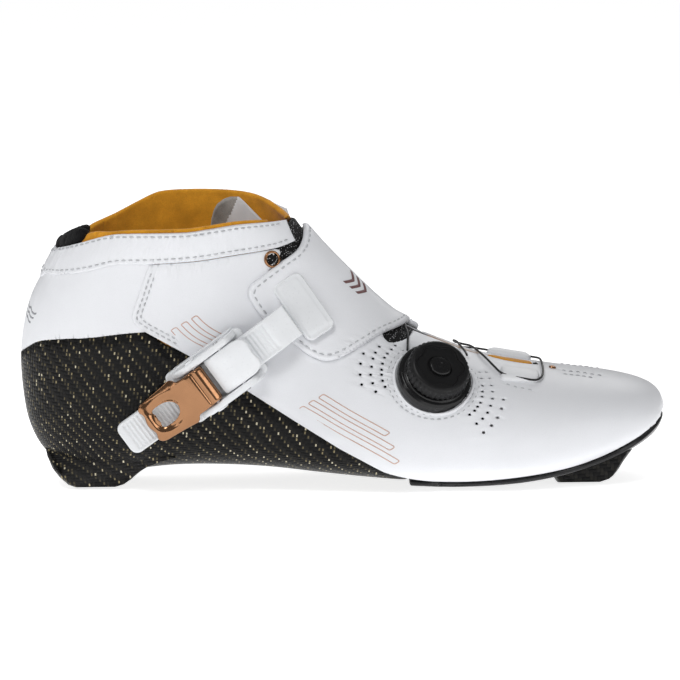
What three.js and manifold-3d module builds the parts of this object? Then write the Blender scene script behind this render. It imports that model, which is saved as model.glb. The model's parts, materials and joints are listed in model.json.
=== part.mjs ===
// Right-foot inline speed-skating boot with a carbon shell, a rotary lace dial and an ankle ratchet buckle.
// Millimetres. +X points to the toe, -Y is the outer (lateral) side, +Y the inner (medial) side, +Z is up.
// The origin is the centre of the boot's footprint box, on the plane of the rear mount pad.
import * as THREE from "three";
import { mergeVertices } from "three/addons/utils/BufferGeometryUtils.js";
import Module from "manifold-3d";
const wasm = await Module();
wasm.setup();

// ---------- driving dimensions ----------
const SIDE_POINTS = 10;      // facets from sole centre line to instep ridge, each side
const SHIFT_X = -0.93;        // places the footprint box centre on the origin
const SHIFT_Y = 1.76;
const SHIFT_Z = 0.9;         // lifts the lowest point of the sole to z = 0
const GAP = 0.3;             // clearance kept between touching pieces
const SKIN = 2.0;            // thickness of shell and leather upper
const LINING_IN = 2.3, LINING_OUT = 4.3;
const SOLE_OUT = 2.0;        // how far the forefoot sole stands proud
const STRAP_OUT = 2.6;       // outer face of the ankle strap over the form
const MOUNT_SPACING = 195;   // two-bolt frame mounting distance
const REAR_BOLT_X = -101.5, BOLT_Y = 0;
const FRONT_BOLT_X = REAR_BOLT_X + MOUNT_SPACING;
const BOLT_HOLE = 3.2;       // radius of the bolt passage
const REAR_PAD_Z = -0.4, FRONT_PAD_Z = -0.4;
const DIAL_R = 13, DIAL_BASE_R = 15.5;
const LADDER_W = 14.6, LADDER_T = 1.6;
const LACE_R = 0.55;

// Cross-sections of the foot form from toe tip to above the collar:
// top x,z, bottom x,z, half width, centre y, height of widest point, lower and upper fullness, toe rounding
const SECTIONS = [
  [132.8, 29.1, 132.8, 27.6, 2.0, 7.0, 0.5, 2.2, 2.1, 1.0],
  [131.7, 33.0, 131.8, 23.2, 10.5, 7.0, 0.48, 2.3, 2.1, 0.85],
  [129.3, 35.9, 129.5, 19.3, 17.0, 6.5, 0.46, 2.4, 2.1, 0.65],
  [125.5, 38.4, 125.5, 16.3, 23.5, 5.5, 0.45, 2.5, 2.1, 0.45],
  [120.0, 40.6, 120.0, 13.4, 29.5, 4.5, 0.44, 2.6, 2.1, 0.3],
  [112.4, 42.5, 112.4, 10.6, 35.0, 3.5, 0.42, 2.8, 2.1, 0.18],
  [103.5, 43.9, 103.0, 7.6, 38.7, 2.7, 0.4, 3.0, 2.1, 0.1],
  [91.3, 45.6, 90.0, 4.4, 42.0, 1.5, 0.38, 3.2, 2.1, 0.05],
  [78.0, 47.8, 75.0, 2.2, 44.0, 0.5, 0.36, 3.4, 2.05, 0],
  [65.0, 50.2, 60.0, 1.3, 44.5, -0.5, 0.34, 3.5, 2.0, 0],
  [52.0, 53.6, 44.0, 1.1, 43.8, -1.2, 0.32, 3.5, 1.95, 0],
  [41.0, 58.0, 28.0, 1.7, 42.3, -1.7, 0.3, 3.5, 1.9, 0],
  [31.0, 62.4, 10.0, 3.0, 40.2, -1.7, 0.29, 3.4, 1.85, 0],
  [22.0, 68.2, -10.0, 4.9, 38.0, -1.5, 0.28, 3.3, 1.8, 0],
  [14.5, 74.6, -30.0, 7.0, 36.3, -1.2, 0.29, 3.2, 1.8, 0],
  [8.0, 80.8, -50.0, 7.8, 35.0, -1.0, 0.31, 3.0, 1.8, 0],
  [2.5, 86.4, -70.0, 7.4, 34.3, -0.8, 0.34, 2.8, 1.85, 0],
  [-2.0, 91.0, -90.0, 5.0, 34.0, -0.5, 0.37, 2.5, 1.9, 0],
  [-6.0, 95.2, -108.0, 4.0, 33.7, -0.3, 0.41, 2.3, 2.0, 0],
  [-10.0, 99.6, -122.0, 12.0, 33.5, 0.0, 0.44, 2.2, 2.1, 0],
  [-13.5, 103.8, -129.3, 24.0, 33.3, 0.0, 0.46, 2.15, 2.2, 0],
  [-16.0, 107.2, -132.3, 40.0, 33.2, 0.0, 0.48, 2.15, 2.25, 0],
  [-18.2, 110.4, -132.6, 58.0, 33.2, 0.0, 0.49, 2.15, 2.3, 0],
  [-20.2, 113.4, -128.7, 77.0, 33.3, 0.0, 0.5, 2.15, 2.35, 0],
  [-22.2, 116.4, -120.8, 92.0, 33.5, 0.0, 0.5, 2.2, 2.4, 0],
  [-24.2, 119.4, -115.0, 103.0, 33.8, 0.0, 0.5, 2.2, 2.4, 0],
  [-26.2, 122.4, -111.3, 113.0, 34.0, 0.0, 0.5, 2.2, 2.4, 0],
  [-28.2, 125.4, -109.5, 122.0, 34.2, 0.0, 0.5, 2.2, 2.4, 0],
];
const RINGS = [0, 0.5, 1.1, 1.8, 2.6, 3.5, 4.6, 5.8, 7.1, 8.4, 9.7, 11, 12.3, 13.6, 14.9, 16.1, 17.1, 18, 18.8, 19.6, 20.6, 21.8, 23, 24.2, 25.4, 27];

// ---------- foot form ----------
function section(u) {
  const n = SECTIONS.length;
  u = Math.min(Math.max(u, 0), n - 1 - 1e-9);
  const i = Math.floor(u), f = u - i;
  const row = (k) => SECTIONS[Math.min(Math.max(k, 0), n - 1)];
  let a = row(i - 1), d = row(i + 2);
  const b = row(i), c = row(i + 1);
  if (i === 0) a = b.map((v, k) => 2 * v - c[k]);
  if (i + 2 > n - 1) d = b.map((v, k) => 2 * c[k] - v);
  return b.map((v, k) => 0.5 * (2 * v + (c[k] - a[k]) * f + (2 * a[k] - 5 * v + 4 * c[k] - d[k]) * f * f + (-a[k] + 3 * v - 3 * c[k] + d[k]) * f ** 3));
}
function halfSection(w, vm, nl, nu, length) {
  const v = [], y = [], L = [0];
  for (let i = 0; i < 160; i++) {
    const t = (i / 159) * Math.PI / 2;
    v.push(vm - vm * Math.abs(Math.cos(t)) ** (2 / nl));
    y.push(w * Math.abs(Math.sin(t)) ** (2 / nl));
  }
  for (let i = 1; i < 160; i++) {
    const t = (i / 159) * Math.PI / 2;
    v.push(vm + (1 - vm) * Math.abs(Math.sin(t)) ** (2 / nu));
    y.push(w * Math.abs(Math.cos(t)) ** (2 / nu));
  }
  for (let i = 1; i < v.length; i++) L.push(L[i - 1] + Math.hypot((v[i] - v[i - 1]) * length, y[i] - y[i - 1]));
  return { v, y, L };
}
const halves = new Map();
function ringFrame(u, inset) {
  const key = u.toFixed(4) + "/" + inset.toFixed(3);
  if (halves.has(key)) return halves.get(key);
  const r = section(u);
  let T = [r[0], r[1]], B = [r[2], r[3]];
  const len = Math.hypot(T[0] - B[0], T[1] - B[1]);
  const dir = [(T[0] - B[0]) / len, (T[1] - B[1]) / len];
  T = [T[0] - dir[0] * inset - inset * r[9], T[1] - dir[1] * inset];
  B = [B[0] + dir[0] * inset - inset * r[9], B[1] + dir[1] * inset];
  let len2 = (T[0] - B[0]) * dir[0] + (T[1] - B[1]) * dir[1];
  if (len2 < 0.8) {
    const m = [(T[0] + B[0]) / 2, (T[1] + B[1]) / 2];
    T = [m[0] + dir[0] * 0.4, m[1] + dir[1] * 0.4];
    B = [m[0] - dir[0] * 0.4, m[1] - dir[1] * 0.4];
    len2 = 0.8;
  }
  const out = { T, B, cy: r[5], half: halfSection(Math.max(r[4] - inset, 0.6), r[6], r[7], r[8], len2) };
  halves.set(key, out);
  return out;
}
// Point of the form: u runs toe to collar, s runs from sole centre (0) to ridge (1), side -1 lateral, +1 medial.
function onForm(u, s, inset = 0, side = -1) {
  const { T, B, cy, half } = ringFrame(u, inset);
  const want = Math.min(Math.max(s, 0), 1) * half.L.at(-1);
  let k = 1;
  while (k < half.L.length - 1 && half.L[k] < want) k++;
  const f = (want - half.L[k - 1]) / (half.L[k] - half.L[k - 1] || 1);
  const v = half.v[k - 1] + f * (half.v[k] - half.v[k - 1]);
  const y = half.y[k - 1] + f * (half.y[k] - half.y[k - 1]);
  return new THREE.Vector3(B[0] + v * (T[0] - B[0]), cy + side * y, B[1] + v * (T[1] - B[1]));
}
function normalOnForm(u, s, side = -1) {
  const du = onForm(u + 0.05, s, 0, side).sub(onForm(u - 0.05, s, 0, side));
  const ds = onForm(u, Math.min(s + 0.01, 1), 0, side).sub(onForm(u, Math.max(s - 0.01, 0), 0, side));
  const n = du.cross(ds).normalize();
  const p = onForm(u, s, 0, side), c = onForm(u, s, 6, side);
  if (n.dot(p.clone().sub(c)) < 0) n.negate();
  return n;
}
// A point lifted off the form by h.
const lifted = (u, s, h, side = -1) => onForm(u, s, 0, side).addScaledVector(normalOnForm(u, s, side), h);

// ---------- solids ----------
function solid(geometry) {
  let g = geometry.index ? geometry : geometry.clone();
  g = g.clone();
  g.deleteAttribute("normal");
  g.deleteAttribute("uv");
  g = mergeVertices(g, 1e-4);
  const tri = new Uint32Array(g.index.array), p = g.attributes.position.array;
  let vol = 0;
  for (let i = 0; i < tri.length; i += 3) {
    const [a, b, c] = [tri[i] * 3, tri[i + 1] * 3, tri[i + 2] * 3];
    vol += p[a] * (p[b + 1] * p[c + 2] - p[b + 2] * p[c + 1]) - p[a + 1] * (p[b] * p[c + 2] - p[b + 2] * p[c]) + p[a + 2] * (p[b] * p[c + 1] - p[b + 1] * p[c]);
  }
  if (vol < 0) for (let i = 0; i < tri.length; i += 3) [tri[i + 1], tri[i + 2]] = [tri[i + 2], tri[i + 1]];
  return new wasm.Manifold(new wasm.Mesh({ numProp: 3, vertProperties: new Float32Array(p), triVerts: tri }));
}
function geometryOf(manifold) {
  const m = manifold.asOriginal().simplify(0.03).getMesh();
  const g = new THREE.BufferGeometry();
  g.setAttribute("position", new THREE.BufferAttribute(new Float32Array(m.vertProperties), 3));
  g.setIndex(new THREE.BufferAttribute(new Uint32Array(m.triVerts), 1));
  return g;
}
const forms = new Map();
// The closed foot form shrunk (or, when negative, grown) by inset.
function form(inset) {
  const key = inset.toFixed(3);
  if (forms.has(key)) return forms.get(key);
  const m = SIDE_POINTS, per = 2 * m, pos = [], idx = [];
  for (const u of RINGS) {
    for (let j = 0; j < m; j++) pos.push(...onForm(u, j / m, inset, -1));
    for (let j = m; j > 0; j--) pos.push(...onForm(u, j / m, inset, 1));
  }
  for (let i = 0; i < RINGS.length - 1; i++)
    for (let j = 0; j < per; j++) {
      const a = i * per + j, b = i * per + ((j + 1) % per), c = a + per, d = b + per;
      idx.push(a, b, d, a, d, c);
    }
  for (const end of [0, RINGS.length - 1]) {
    const base = end * per, centre = pos.length / 3, avg = [0, 0, 0];
    for (let j = 0; j < per; j++) for (let k = 0; k < 3; k++) avg[k] += pos[(base + j) * 3 + k] / per;
    pos.push(...avg);
    for (let j = 0; j < per; j++) {
      const a = base + j, b = base + ((j + 1) % per);
      if (end) idx.push(centre, a, b);
      else idx.push(centre, b, a);
    }
  }
  const g = new THREE.BufferGeometry();
  g.setAttribute("position", new THREE.Float32BufferAttribute(pos, 3));
  g.setIndex(idx);
  const out = solid(g);
  forms.set(key, out);
  return out;
}
const layer = (outer, inner) => form(outer).subtract(form(inner));
const flat = (pts) => new THREE.Shape(pts.map(([x, y]) => new THREE.Vector2(x, y)));
// Side-view outline (x, z) extruded across the boot from y0 to y1.
function acrossY(pts, y0 = -90, y1 = 90) {
  const g = new THREE.ExtrudeGeometry(flat(pts), { depth: y1 - y0, bevelEnabled: false, curveSegments: 6 });
  g.applyMatrix4(new THREE.Matrix4().makeRotationX(Math.PI / 2)).translate(0, y1, 0);
  return solid(g);
}
// Plan outline (x, y) extruded upward from z0 to z1.
function upZ(pts, z0, z1) {
  const g = new THREE.ExtrudeGeometry(flat(pts), { depth: z1 - z0, bevelEnabled: false, curveSegments: 6 });
  return solid(g.translate(0, 0, z0));
}
const bothSides = (lat, med) => acrossY(lat, -90, 0).add(acrossY(med, 0, 90));
const shifted = (pts, dx, dz) => pts.map(([x, z]) => [x + dx, z + dz]);
const frameOf = (origin, e1, e2, n) => new THREE.Matrix4().makeBasis(e1, e2, n).setPosition(origin);
function placed(geometry, matrix) { return solid(geometry.clone().applyMatrix4(matrix)); }
function roundRect(x0, y0, x1, y1, r, seg = 4) {
  const pts = [];
  for (const [cx, cy, a0] of [[x1 - r, y0 + r, -90], [x1 - r, y1 - r, 0], [x0 + r, y1 - r, 90], [x0 + r, y0 + r, 180]])
    for (let i = 0; i <= seg; i++) {
      const a = ((a0 + (90 * i) / seg) * Math.PI) / 180;
      pts.push([cx + r * Math.cos(a), cy + r * Math.sin(a)]);
    }
  return pts;
}
const group = new THREE.Group();
const boot = new THREE.Group();
boot.position.set(SHIFT_X, SHIFT_Y, SHIFT_Z);
group.add(boot);
function add(name, body, color, roughness, metalness) {
  const mesh = new THREE.Mesh(body.isBufferGeometry ? body : geometryOf(body), new THREE.MeshStandardMaterial({ color, roughness, metalness }));
  mesh.name = name;
  boot.add(mesh);
  return mesh;
}
const CARBON = [0x1c1b18, 0.25, 0.1], WHITE = [0xe8e9ed, 0.45, 0], TAN = [0xc07a14, 0.85, 0], BLACK = [0x18181a, 0.6, 0];
const PLASTIC = [0xf2f3f5, 0.35, 0], GOLD = [0xb98a63, 0.22, 0.9], STEEL = [0x9a9da1, 0.3, 0.9];

// ---------- outlines in side view (x, z) ----------
const SHELL_EDGE = [[-132.9, 55.7], [-124.6, 61.2], [-113.9, 63], [-103.4, 63.8], [-89.4, 65.6], [-79.4, 66.4], [-61.9, 56.5], [-37.8, 41.7], [-19, 29.6], [-0.7, 18.2], [8.1, 13.4], [26.5, 3.2]];
const SOLE_EDGE = [[39.1, 3.1], [52.6, 3.1], [70.1, 4.5], [83.6, 6.0], [96.5, 8.2], [102.5, 10.0], [108.7, 12.2], [115.9, 15.2], [121.1, 17.8], [126.3, 20.9], [129.9, 23.6], [131.7, 25.6]];
const COUNTER_EDGE = [[-79.4, 66.4], [-83.4, 69.7], [-84.8, 72.4], [-83.4, 77.5], [-81.7, 82], [-79.6, 88.2], [-77, 94.4]];
const BAND_LOW = [[-126, 88.2], [-115.1, 89], [-103, 91.2], [-91.3, 94.1], [-76.2, 94.4], [-58.7, 95.2], [-42.5, 97.1], [-26.2, 98.8], [-12, 102]];
const BAND_TOP = [[-118, 98.3], [-104.9, 102.7], [-94.1, 106], [-85, 106.8], [-63, 106.9], [-52.4, 108], [-40.9, 109.3], [-30.2, 109.6], [-20.7, 109.8], [-8, 110]];
const BAND_TOP_MED = [[-118, 98.3], [-104.9, 101.9], [-94.1, 105], [-85.8, 108.5], [-78.2, 112], [-72.8, 113.8], [-60.2, 114.5], [-37.4, 114.6], [-28, 113.4], [-20, 111], [-8, 110]];
const rev = (a) => [...a].reverse();
const half = GAP / 2;
const lower = (pts) => shifted(pts, 0, -GAP);

// Throat slot seen from above: wide over the ankle, a thin slit over the forefoot.
const THROAT = [[-48, 12.4, 0], [-14, 12.4, 0], [0, 10.5, -0.3], [12, 8.6, -0.7], [24, 6.4, -1.2], [36, 4.2, -1.6], [48, 2.6, -2.8], [60, 1.7, -4.6], [72, 1.5, -4.8], [82, 1.4, -4.9], [84.2, 0.7, -5]];
const throat = (grow, x0 = -90, x1 = 90) => {
  const rows = THROAT.filter(([x]) => x >= x0 && x <= x1);
  return upZ([...rows.map(([x, h, c]) => [x + (x > 84 ? grow : 0), c - h - grow]), ...rev(rows).map(([x, h, c]) => [x + (x > 84 ? grow : 0), c + h + grow])], 40, 150);
};

// ---------- carbon shell, sole and mount blocks ----------
const belowShell = acrossY([[-150, -20], [27, -20], [27, 2.9], ...rev(lower(SHELL_EDGE)).slice(1), [-150, 55.4]]);
add("carbon_shell", layer(0, SKIN).intersect(belowShell), ...CARBON);
const soleZone = acrossY([[27.4, -20], [150, -20], [150, 25.3], ...rev(lower(SOLE_EDGE)), [27.4, 2.8]]);
add("forefoot_sole", layer(-SOLE_OUT, 1.0).intersect(soleZone), ...CARBON);
const boltHole = (x, z0, z1, r = BOLT_HOLE) => {
  const g = new THREE.CylinderGeometry(r, r, z1 - z0, 16);
  g.rotateX(Math.PI / 2).translate(x, BOLT_Y, (z0 + z1) / 2);
  return solid(g);
};
const padPlan = (x0, x1, w0, w1) => upZ([[x0 + 3, -w0 + 4], [x0 + 7, -w0], [x1 - 7, -w1], [x1 - 3, -w1 + 4], [x1, 0], [x1 - 3, w1 - 4], [x1 - 7, w1], [x0 + 7, w0], [x0 + 3, w0 - 4], [x0, 0]], -5, 60);
const rearSide = acrossY([[-122.5, 13.5], [-119.8, 7.2], [-116.5, 2.9], [-113.5, 0.4], [-111, REAR_PAD_Z], [-93.5, REAR_PAD_Z], [-90, 0.5], [-86.4, 2.8], [-82.2, 6.6], [-79, 9.4], [-74, 16], [-122, 18]]);
const INSERT_R = 5.2;
add("rear_mount_block", rearSide.intersect(padPlan(-126, -72, 17, 22)).subtract(form(-GAP)).subtract(boltHole(REAR_BOLT_X, -5, 40, INSERT_R)), ...CARBON);
const frontSide = acrossY([[86.2, 7], [86.8, 0.6], [88.6, FRONT_PAD_Z], [107, FRONT_PAD_Z], [110.7, 0.7], [112.8, 2.2], [114.9, 4.8], [117, 8.1], [120.3, 12.4], [121, 20], [88, 16]]);
add("front_mount_block", frontSide.intersect(padPlan(82, 124, 22, 17)).subtract(form(-SOLE_OUT - GAP)).subtract(boltHole(FRONT_BOLT_X, -5, 40, INSERT_R)), ...CARBON);
const insert = (x, z0, z1) => boltHole(x, z0, z1, INSERT_R - GAP).subtract(boltHole(x, z0 - 2, z1 + 2, BOLT_HOLE));
add("rear_threaded_insert", insert(REAR_BOLT_X, 0, 3.4), ...STEEL);
add("front_threaded_insert", insert(FRONT_BOLT_X, -0.1, 2.2), ...STEEL);

// Footbed: a thin slab inside, along the bottom.
const FOOTBED_TOP = [[-150, 17], [-122, 14], [-108, 11.5], [-90, 11.8], [-70, 13.4], [-50, 13.8], [-30, 13], [-10, 11.2], [10, 9.6], [28, 8.6], [44, 8.2], [60, 8.4], [75, 9.2], [90, 11.2], [103, 14], [112, 17], [120, 20], [140, 28]];
const bed = form(2.6).intersect(acrossY([[-150, -10], [140, -10], ...rev(FOOTBED_TOP)]));
add("footbed", bed.intersect(acrossY([[-128, -10], [121, -10], [121, 60], [-128, 60]])), ...BLACK);

// ---------- leather upper ----------
const skin = layer(0, SKIN).subtract(throat(0));
const bandLowG = lower(BAND_LOW);
const frontUp = [[-10, 130], [150, 130], [150, 26.4]];
const vampLat = [...COUNTER_EDGE.slice(0, 6), [-77.2, 94.1], ...bandLowG.slice(5), ...frontUp, ...rev(SOLE_EDGE), ...rev(SHELL_EDGE).slice(0, 6)];
const MED_SEAM = [[58, 3.6], [50, 20], [38, 40], [34, 70], [34, 130]]; // joint between the vamp and the inner quarter
const vampMed = [...shifted(MED_SEAM, half, 0), [150, 130], [150, 26.4], ...rev(SOLE_EDGE).slice(0, 10)];
const quarterMed = [...COUNTER_EDGE.slice(0, 6), [-77.2, 94.1], ...bandLowG.slice(5), [-10, 130], ...rev(shifted(MED_SEAM, -half, 0)), [52.6, 3.1], [39.1, 3.1], ...rev(SHELL_EDGE).slice(0, 6)];
add("vamp", skin.intersect(bothSides(vampLat, vampMed)), ...WHITE);
add("quarter_medial", skin.intersect(acrossY(quarterMed, 0.2, 90)), ...WHITE);
const counterGap = shifted(COUNTER_EDGE, -GAP, 0);
add("heel_counter", skin.intersect(acrossY([[-150, 56], ...SHELL_EDGE.slice(0, 5), [-80, 66.3], ...counterGap.slice(1, 6), [-77.6, 94.0], ...rev(bandLowG).slice(5), [-150, 88]])), ...WHITE);
const bandZone = (top) => [...BAND_LOW, [-8, 103], ...rev(top), [-150, 98.3], [-150, 88.3]];
add("collar_band", skin.intersect(bothSides(bandZone(BAND_TOP), bandZone(BAND_TOP_MED))), ...WHITE);

// ---------- lining, tongue, pads ----------
const padZone = acrossY([[-150, 98.8], [-118, 98.9], [-105.2, 103.2], [-102, 104.4], [-102, 110.2], [-109.5, 109.2], [-114, 105.5], [-150, 104]]);
add("achilles_pad", layer(-0.4, 4.6).intersect(padZone), ...BLACK);
const padClear = acrossY([[-150, 98.5], [-118, 98.6], [-105, 102.8], [-101.7, 104.1], [-101.7, 120], [-150, 120]]);
const liningZone = (top) => [[-150, 46], [-20, 46], [-6, 60], [-6, 112], ...rev(top), [-150, 98.3]];
const raise = (pts, n) => pts.map(([x, z]) => [x, z + (x > -104 ? n : 0)]);
add("collar_lining", layer(LINING_IN, LINING_OUT).subtract(throat(0.4)).intersect(bothSides(liningZone(raise(BAND_TOP, 2.6)), liningZone(raise(BAND_TOP_MED, 2.8)))).subtract(padClear), ...TAN);
add("tongue", layer(LINING_IN, 4.9).intersect(throat(-0.4, -60, 40)).intersect(acrossY([[-40, 60], [36, 40], [38, 80], [-6, 115], [-16, 114.5], [-40, 110]])), ...BLACK);
add("throat_gusset", layer(LINING_IN, 3.7).intersect(upZ([[40, -14], [88, -12], [88, 5], [40, 12]], 30, 90)), ...TAN);

// Loose end of the inner ankle wrap standing in the opening.
{
  const shape = flat([[-54, 66], [-31, 66], [-30.5, 105.5], [-36, 112.5], [-41.5, 117.8], [-48.5, 115.5], [-53, 108]]);
  const g = new THREE.ExtrudeGeometry(shape, { depth: 1.4, bevelEnabled: false });
  g.rotateX(Math.PI / 2).translate(0, 9.4, 0);
  add("inner_flap", g, 0xb9bbc2, 0.8, 0);
}

// ---------- ankle strap ----------
const STRAP_LAT = [[-10, 118], [-13.8, 104], [-15, 101], [-25.3, 92.7], [-36, 84.8], [-37.4, 80.5], [-36.1, 77.5], [-30.9, 70.2], [-18.5, 60], [-15.3, 57.3], [-11.6, 55], [-6.3, 53.2], [-0.2, 54.2], [8.9, 58.6], [16.8, 62.6], [27, 65], [40, 76]];
const STRAP_MED = [[-10, 118], [-13.8, 104], [-34, 78], [-47, 58], [-49, 52], [-46, 47], [-22, 35], [-16, 35], [-11, 39], [6, 55], [27, 65], [40, 76]];
const strapBody = layer(-STRAP_OUT, -GAP - 0.1).intersect(bothSides(STRAP_LAT, STRAP_MED));
add("ankle_strap", strapBody, ...WHITE);

// ---------- small fittings placed on the form ----------
function discOn(u, s, side, r, h0, h1, hole = 0, seg = 20) {
  const p = onForm(u, s, 0, side), n = normalOnForm(u, s, side);
  const prof = hole ? [[hole, h0], [r, h0], [r, h1 * 0.7 + h0 * 0.3], [r - 0.4, h1], [hole, h1], [hole, h0]] : [[0, h0], [r, h0], [r, h1 * 0.7 + h0 * 0.3], [r * 0.7, h1], [0, h1]];
  const g = new THREE.LatheGeometry(prof.map(([x, y]) => new THREE.Vector2(x, y)), seg);
  const q = new THREE.Quaternion().setFromUnitVectors(new THREE.Vector3(0, 1, 0), n);
  return solid(g.applyQuaternion(q).translate(p.x, p.y, p.z));
}
add("eyelet_lateral", discOn(20.05, 0.825, -1, 3.9, 0.3, 1.4, 2.2).subtract(form(-GAP)).subtract(layer(-STRAP_OUT - GAP, 0).intersect(acrossY(shifted(STRAP_LAT, -0.5, 0.5)))), ...GOLD);
add("eyelet_medial", discOn(20.6, 0.8, 1, 3.9, 0.3, 1.4, 2.2).subtract(form(-GAP)), ...GOLD);
add("toe_rivet", discOn(7.27, 0.93, -1, 1.8, 0.2, 1.5, 0, 14).subtract(form(-GAP)), ...STEEL);

// ---------- rotary lace dial ----------
const DIAL_U = 11.01, DIAL_S = 0.712;
const dialN = new THREE.Vector3(0.26, -0.73, 0.63).normalize(), dialP = onForm(DIAL_U, DIAL_S).addScaledVector(dialN, 0.9);
const dialQ = new THREE.Quaternion().setFromUnitVectors(new THREE.Vector3(0, 1, 0), dialN);
const lathe = (prof, seg = 28) => {
  const g = new THREE.LatheGeometry(prof.map(([x, y]) => new THREE.Vector2(x, y)), seg);
  return solid(g.applyQuaternion(dialQ).translate(dialP.x, dialP.y, dialP.z));
};
// Base: flange seated on the vamp, with a cup for the spool.
const dialBase = lathe([[0, -6], [DIAL_BASE_R - 1.5, -6], [DIAL_BASE_R, -5], [DIAL_BASE_R, 1.8], [DIAL_BASE_R - 1, 2.8], [DIAL_R + 0.2, 3.0], [DIAL_R + 0.2, 3.6], [9.2, 3.6], [9.2, 1.0], [0, 1.0], [0, -6]]).subtract(form(-GAP));
add("dial_spool", lathe([[2.2, 1.3], [8.6, 1.3], [8.6, 1.8], [6.4, 2.1], [6.4, 3.2], [8.6, 3.5], [8.6, 4.0], [2.2, 4.0], [2.2, 1.3]]), ...BLACK);
add("dial_axle_screw", lathe([[0, 1.3], [1.9, 1.3], [1.9, 6.8], [0, 6.8], [0, 1.3]], 12), ...STEEL);
{
  const knobProf = [[2.6, 4.3], [9.6, 4.3], [9.6, 4.0], [DIAL_R - 0.4, 4.0], [DIAL_R, 4.4], [DIAL_R, 7.6], [DIAL_R - 0.5, 9.4], [DIAL_R - 2.2, 10.4], [DIAL_R - 4.0, 10.2], [DIAL_R - 5.0, 9.4], [2.6, 9.2], [2.6, 4.3]];
  add("dial_knob", lathe(knobProf, 32), ...BLACK);
  add("dial_cap", lathe([[0, 9.6], [5.6, 9.6], [5.6, 10.3], [5.0, 11.0], [0, 11.3]], 20), 0x1f2022, 0.35, 0);
}

// ---------- lace and its guides ----------
const laceRoute = [
  // leaves the dial low side, passes under the strap edge to the inner side
  [12.35, 0.795, 1.9, -1], [12.35, 0.84, 1.5, -1], [12.3, 0.9, 1.4, -1], [12.15, 0.96, 1.4, -1], [12.0, 0.985, 1.4, 1], [11.8, 0.93, 1.3, 1], [11.5, 0.87, 1.3, 1], [11.1, 0.83, 1.3, 1],
  [10.6, 0.82, 1.3, 1], [10.1, 0.84, 1.3, 1], [9.7, 0.875, 1.3, 1], [9.3, 0.9, 1.3, 1], [8.8, 0.915, 1.3, 1], [8.3, 0.92, 1.3, 1], [7.95, 0.925, 1.3, 1],
  [7.74, 0.935, 1.3, 1], [7.65, 0.97, 1.3, 1], [7.62, 0.97, 1.35, -1], [7.6, 0.9, 1.3, -1], [7.6, 0.84, 1.3, -1], [7.66, 0.79, 1.3, -1], [7.84, 0.765, 1.3, -1], [8.2, 0.77, 1.3, -1], [8.6, 0.78, 1.3, -1], [8.9, 0.795, 1.3, -1],
  [9.15, 0.84, 1.3, -1], [9.4, 0.9, 1.3, -1], [9.65, 0.965, 1.3, -1], [9.85, 0.96, 1.3, 1], [10.1, 0.91, 1.3, 1],
];
const lacePts = laceRoute.map(([u, s, h, side]) => lifted(u, s, h, side));
const laceReturn = [[10.35, 0.9, 1.3, 1], [10.45, 0.94, 1.3, 1], [10.35, 0.985, 1.4, 1], [10.2, 0.95, 1.4, -1], [10.05, 0.9, 1.6, -1], [10.0, 0.868, 2.0, -1]].map(([u, s, h, side]) => lifted(u, s, h, side));
const laceCurve = new THREE.CatmullRomCurve3([...lacePts, ...laceReturn], false, "centripetal");
const tube = (curve, r, steps, sides = 6) => {
  const ring = new THREE.Shape(Array.from({ length: sides }, (_, i) => new THREE.Vector2(r * Math.cos((i / sides) * 2 * Math.PI), r * Math.sin((i / sides) * 2 * Math.PI))));
  return solid(new THREE.ExtrudeGeometry(ring, { extrudePath: curve, steps, bevelEnabled: false, curveSegments: 1 }));
};
const laceSolid = tube(laceCurve, LACE_R, 70);
const laceRoom = tube(laceCurve, LACE_R + 0.35, 70);
const guide = (u0, u1, s0, s1, side) => {
  // A raised flap stitched over the upper with the lace running through it.
  const pos = [], idx = [], nu = 5, ns = 3, row = ns + 1;
  for (const h of [0.55, 2.6]) for (let i = 0; i <= nu; i++) for (let j = 0; j <= ns; j++) pos.push(...lifted(u0 + ((u1 - u0) * i) / nu, s0 + ((s1 - s0) * j) / ns, h, side));
  const N = (nu + 1) * row, q = (a, b, c, d) => idx.push(a, b, c, a, c, d);
  for (let i = 0; i < nu; i++) for (let j = 0; j < ns; j++) {
    const a = i * row + j;
    q(a, a + 1, a + row + 1, a + row);
    q(N + a, N + a + row, N + a + row + 1, N + a + 1);
  }
  for (let i = 0; i < nu; i++) { const a = i * row, b = i * row + ns; q(a, a + row, N + a + row, N + a); q(b, N + b, N + b + row, b + row); }
  for (let j = 0; j < ns; j++) { const a = j, b = nu * row + j; q(a, N + a, N + a + 1, a + 1); q(b, b + 1, N + b + 1, N + b); }
  const g = new THREE.BufferGeometry();
  g.setAttribute("position", new THREE.Float32BufferAttribute(pos, 3));
  g.setIndex(idx);
  return solid(g).subtract(form(-GAP));
};
add("lace_guide_lateral", guide(7.9, 8.75, 0.74, 0.81, -1).subtract(laceRoom), ...WHITE);
add("lace_guide_medial_front", guide(8.0, 9.2, 0.885, 0.95, 1).subtract(laceRoom), ...WHITE);
add("lace_guide_medial_rear", guide(10.25, 11.45, 0.78, 0.865, 1).subtract(laceRoom), ...WHITE);
add("dial_base", dialBase.subtract(laceRoom), ...BLACK);
add("lace", laceSolid, 0x161616, 0.4, 0.2);

// ---------- ankle buckle ----------
// Local frame: a runs up the ladder towards the strap, v is across it (up and back), h stands off the boot.
const BK_COS = 0.8155, BK_SIN = 0.5787;
const bkE1 = new THREE.Vector3(BK_COS, 0, BK_SIN), bkN = new THREE.Vector3(0, -1, 0), bkE2 = new THREE.Vector3(-BK_SIN, 0, BK_COS);
const bkFrame = frameOf(new THREE.Vector3(-88.5, -34.4, 22), bkE1, bkE2, bkN);
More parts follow.
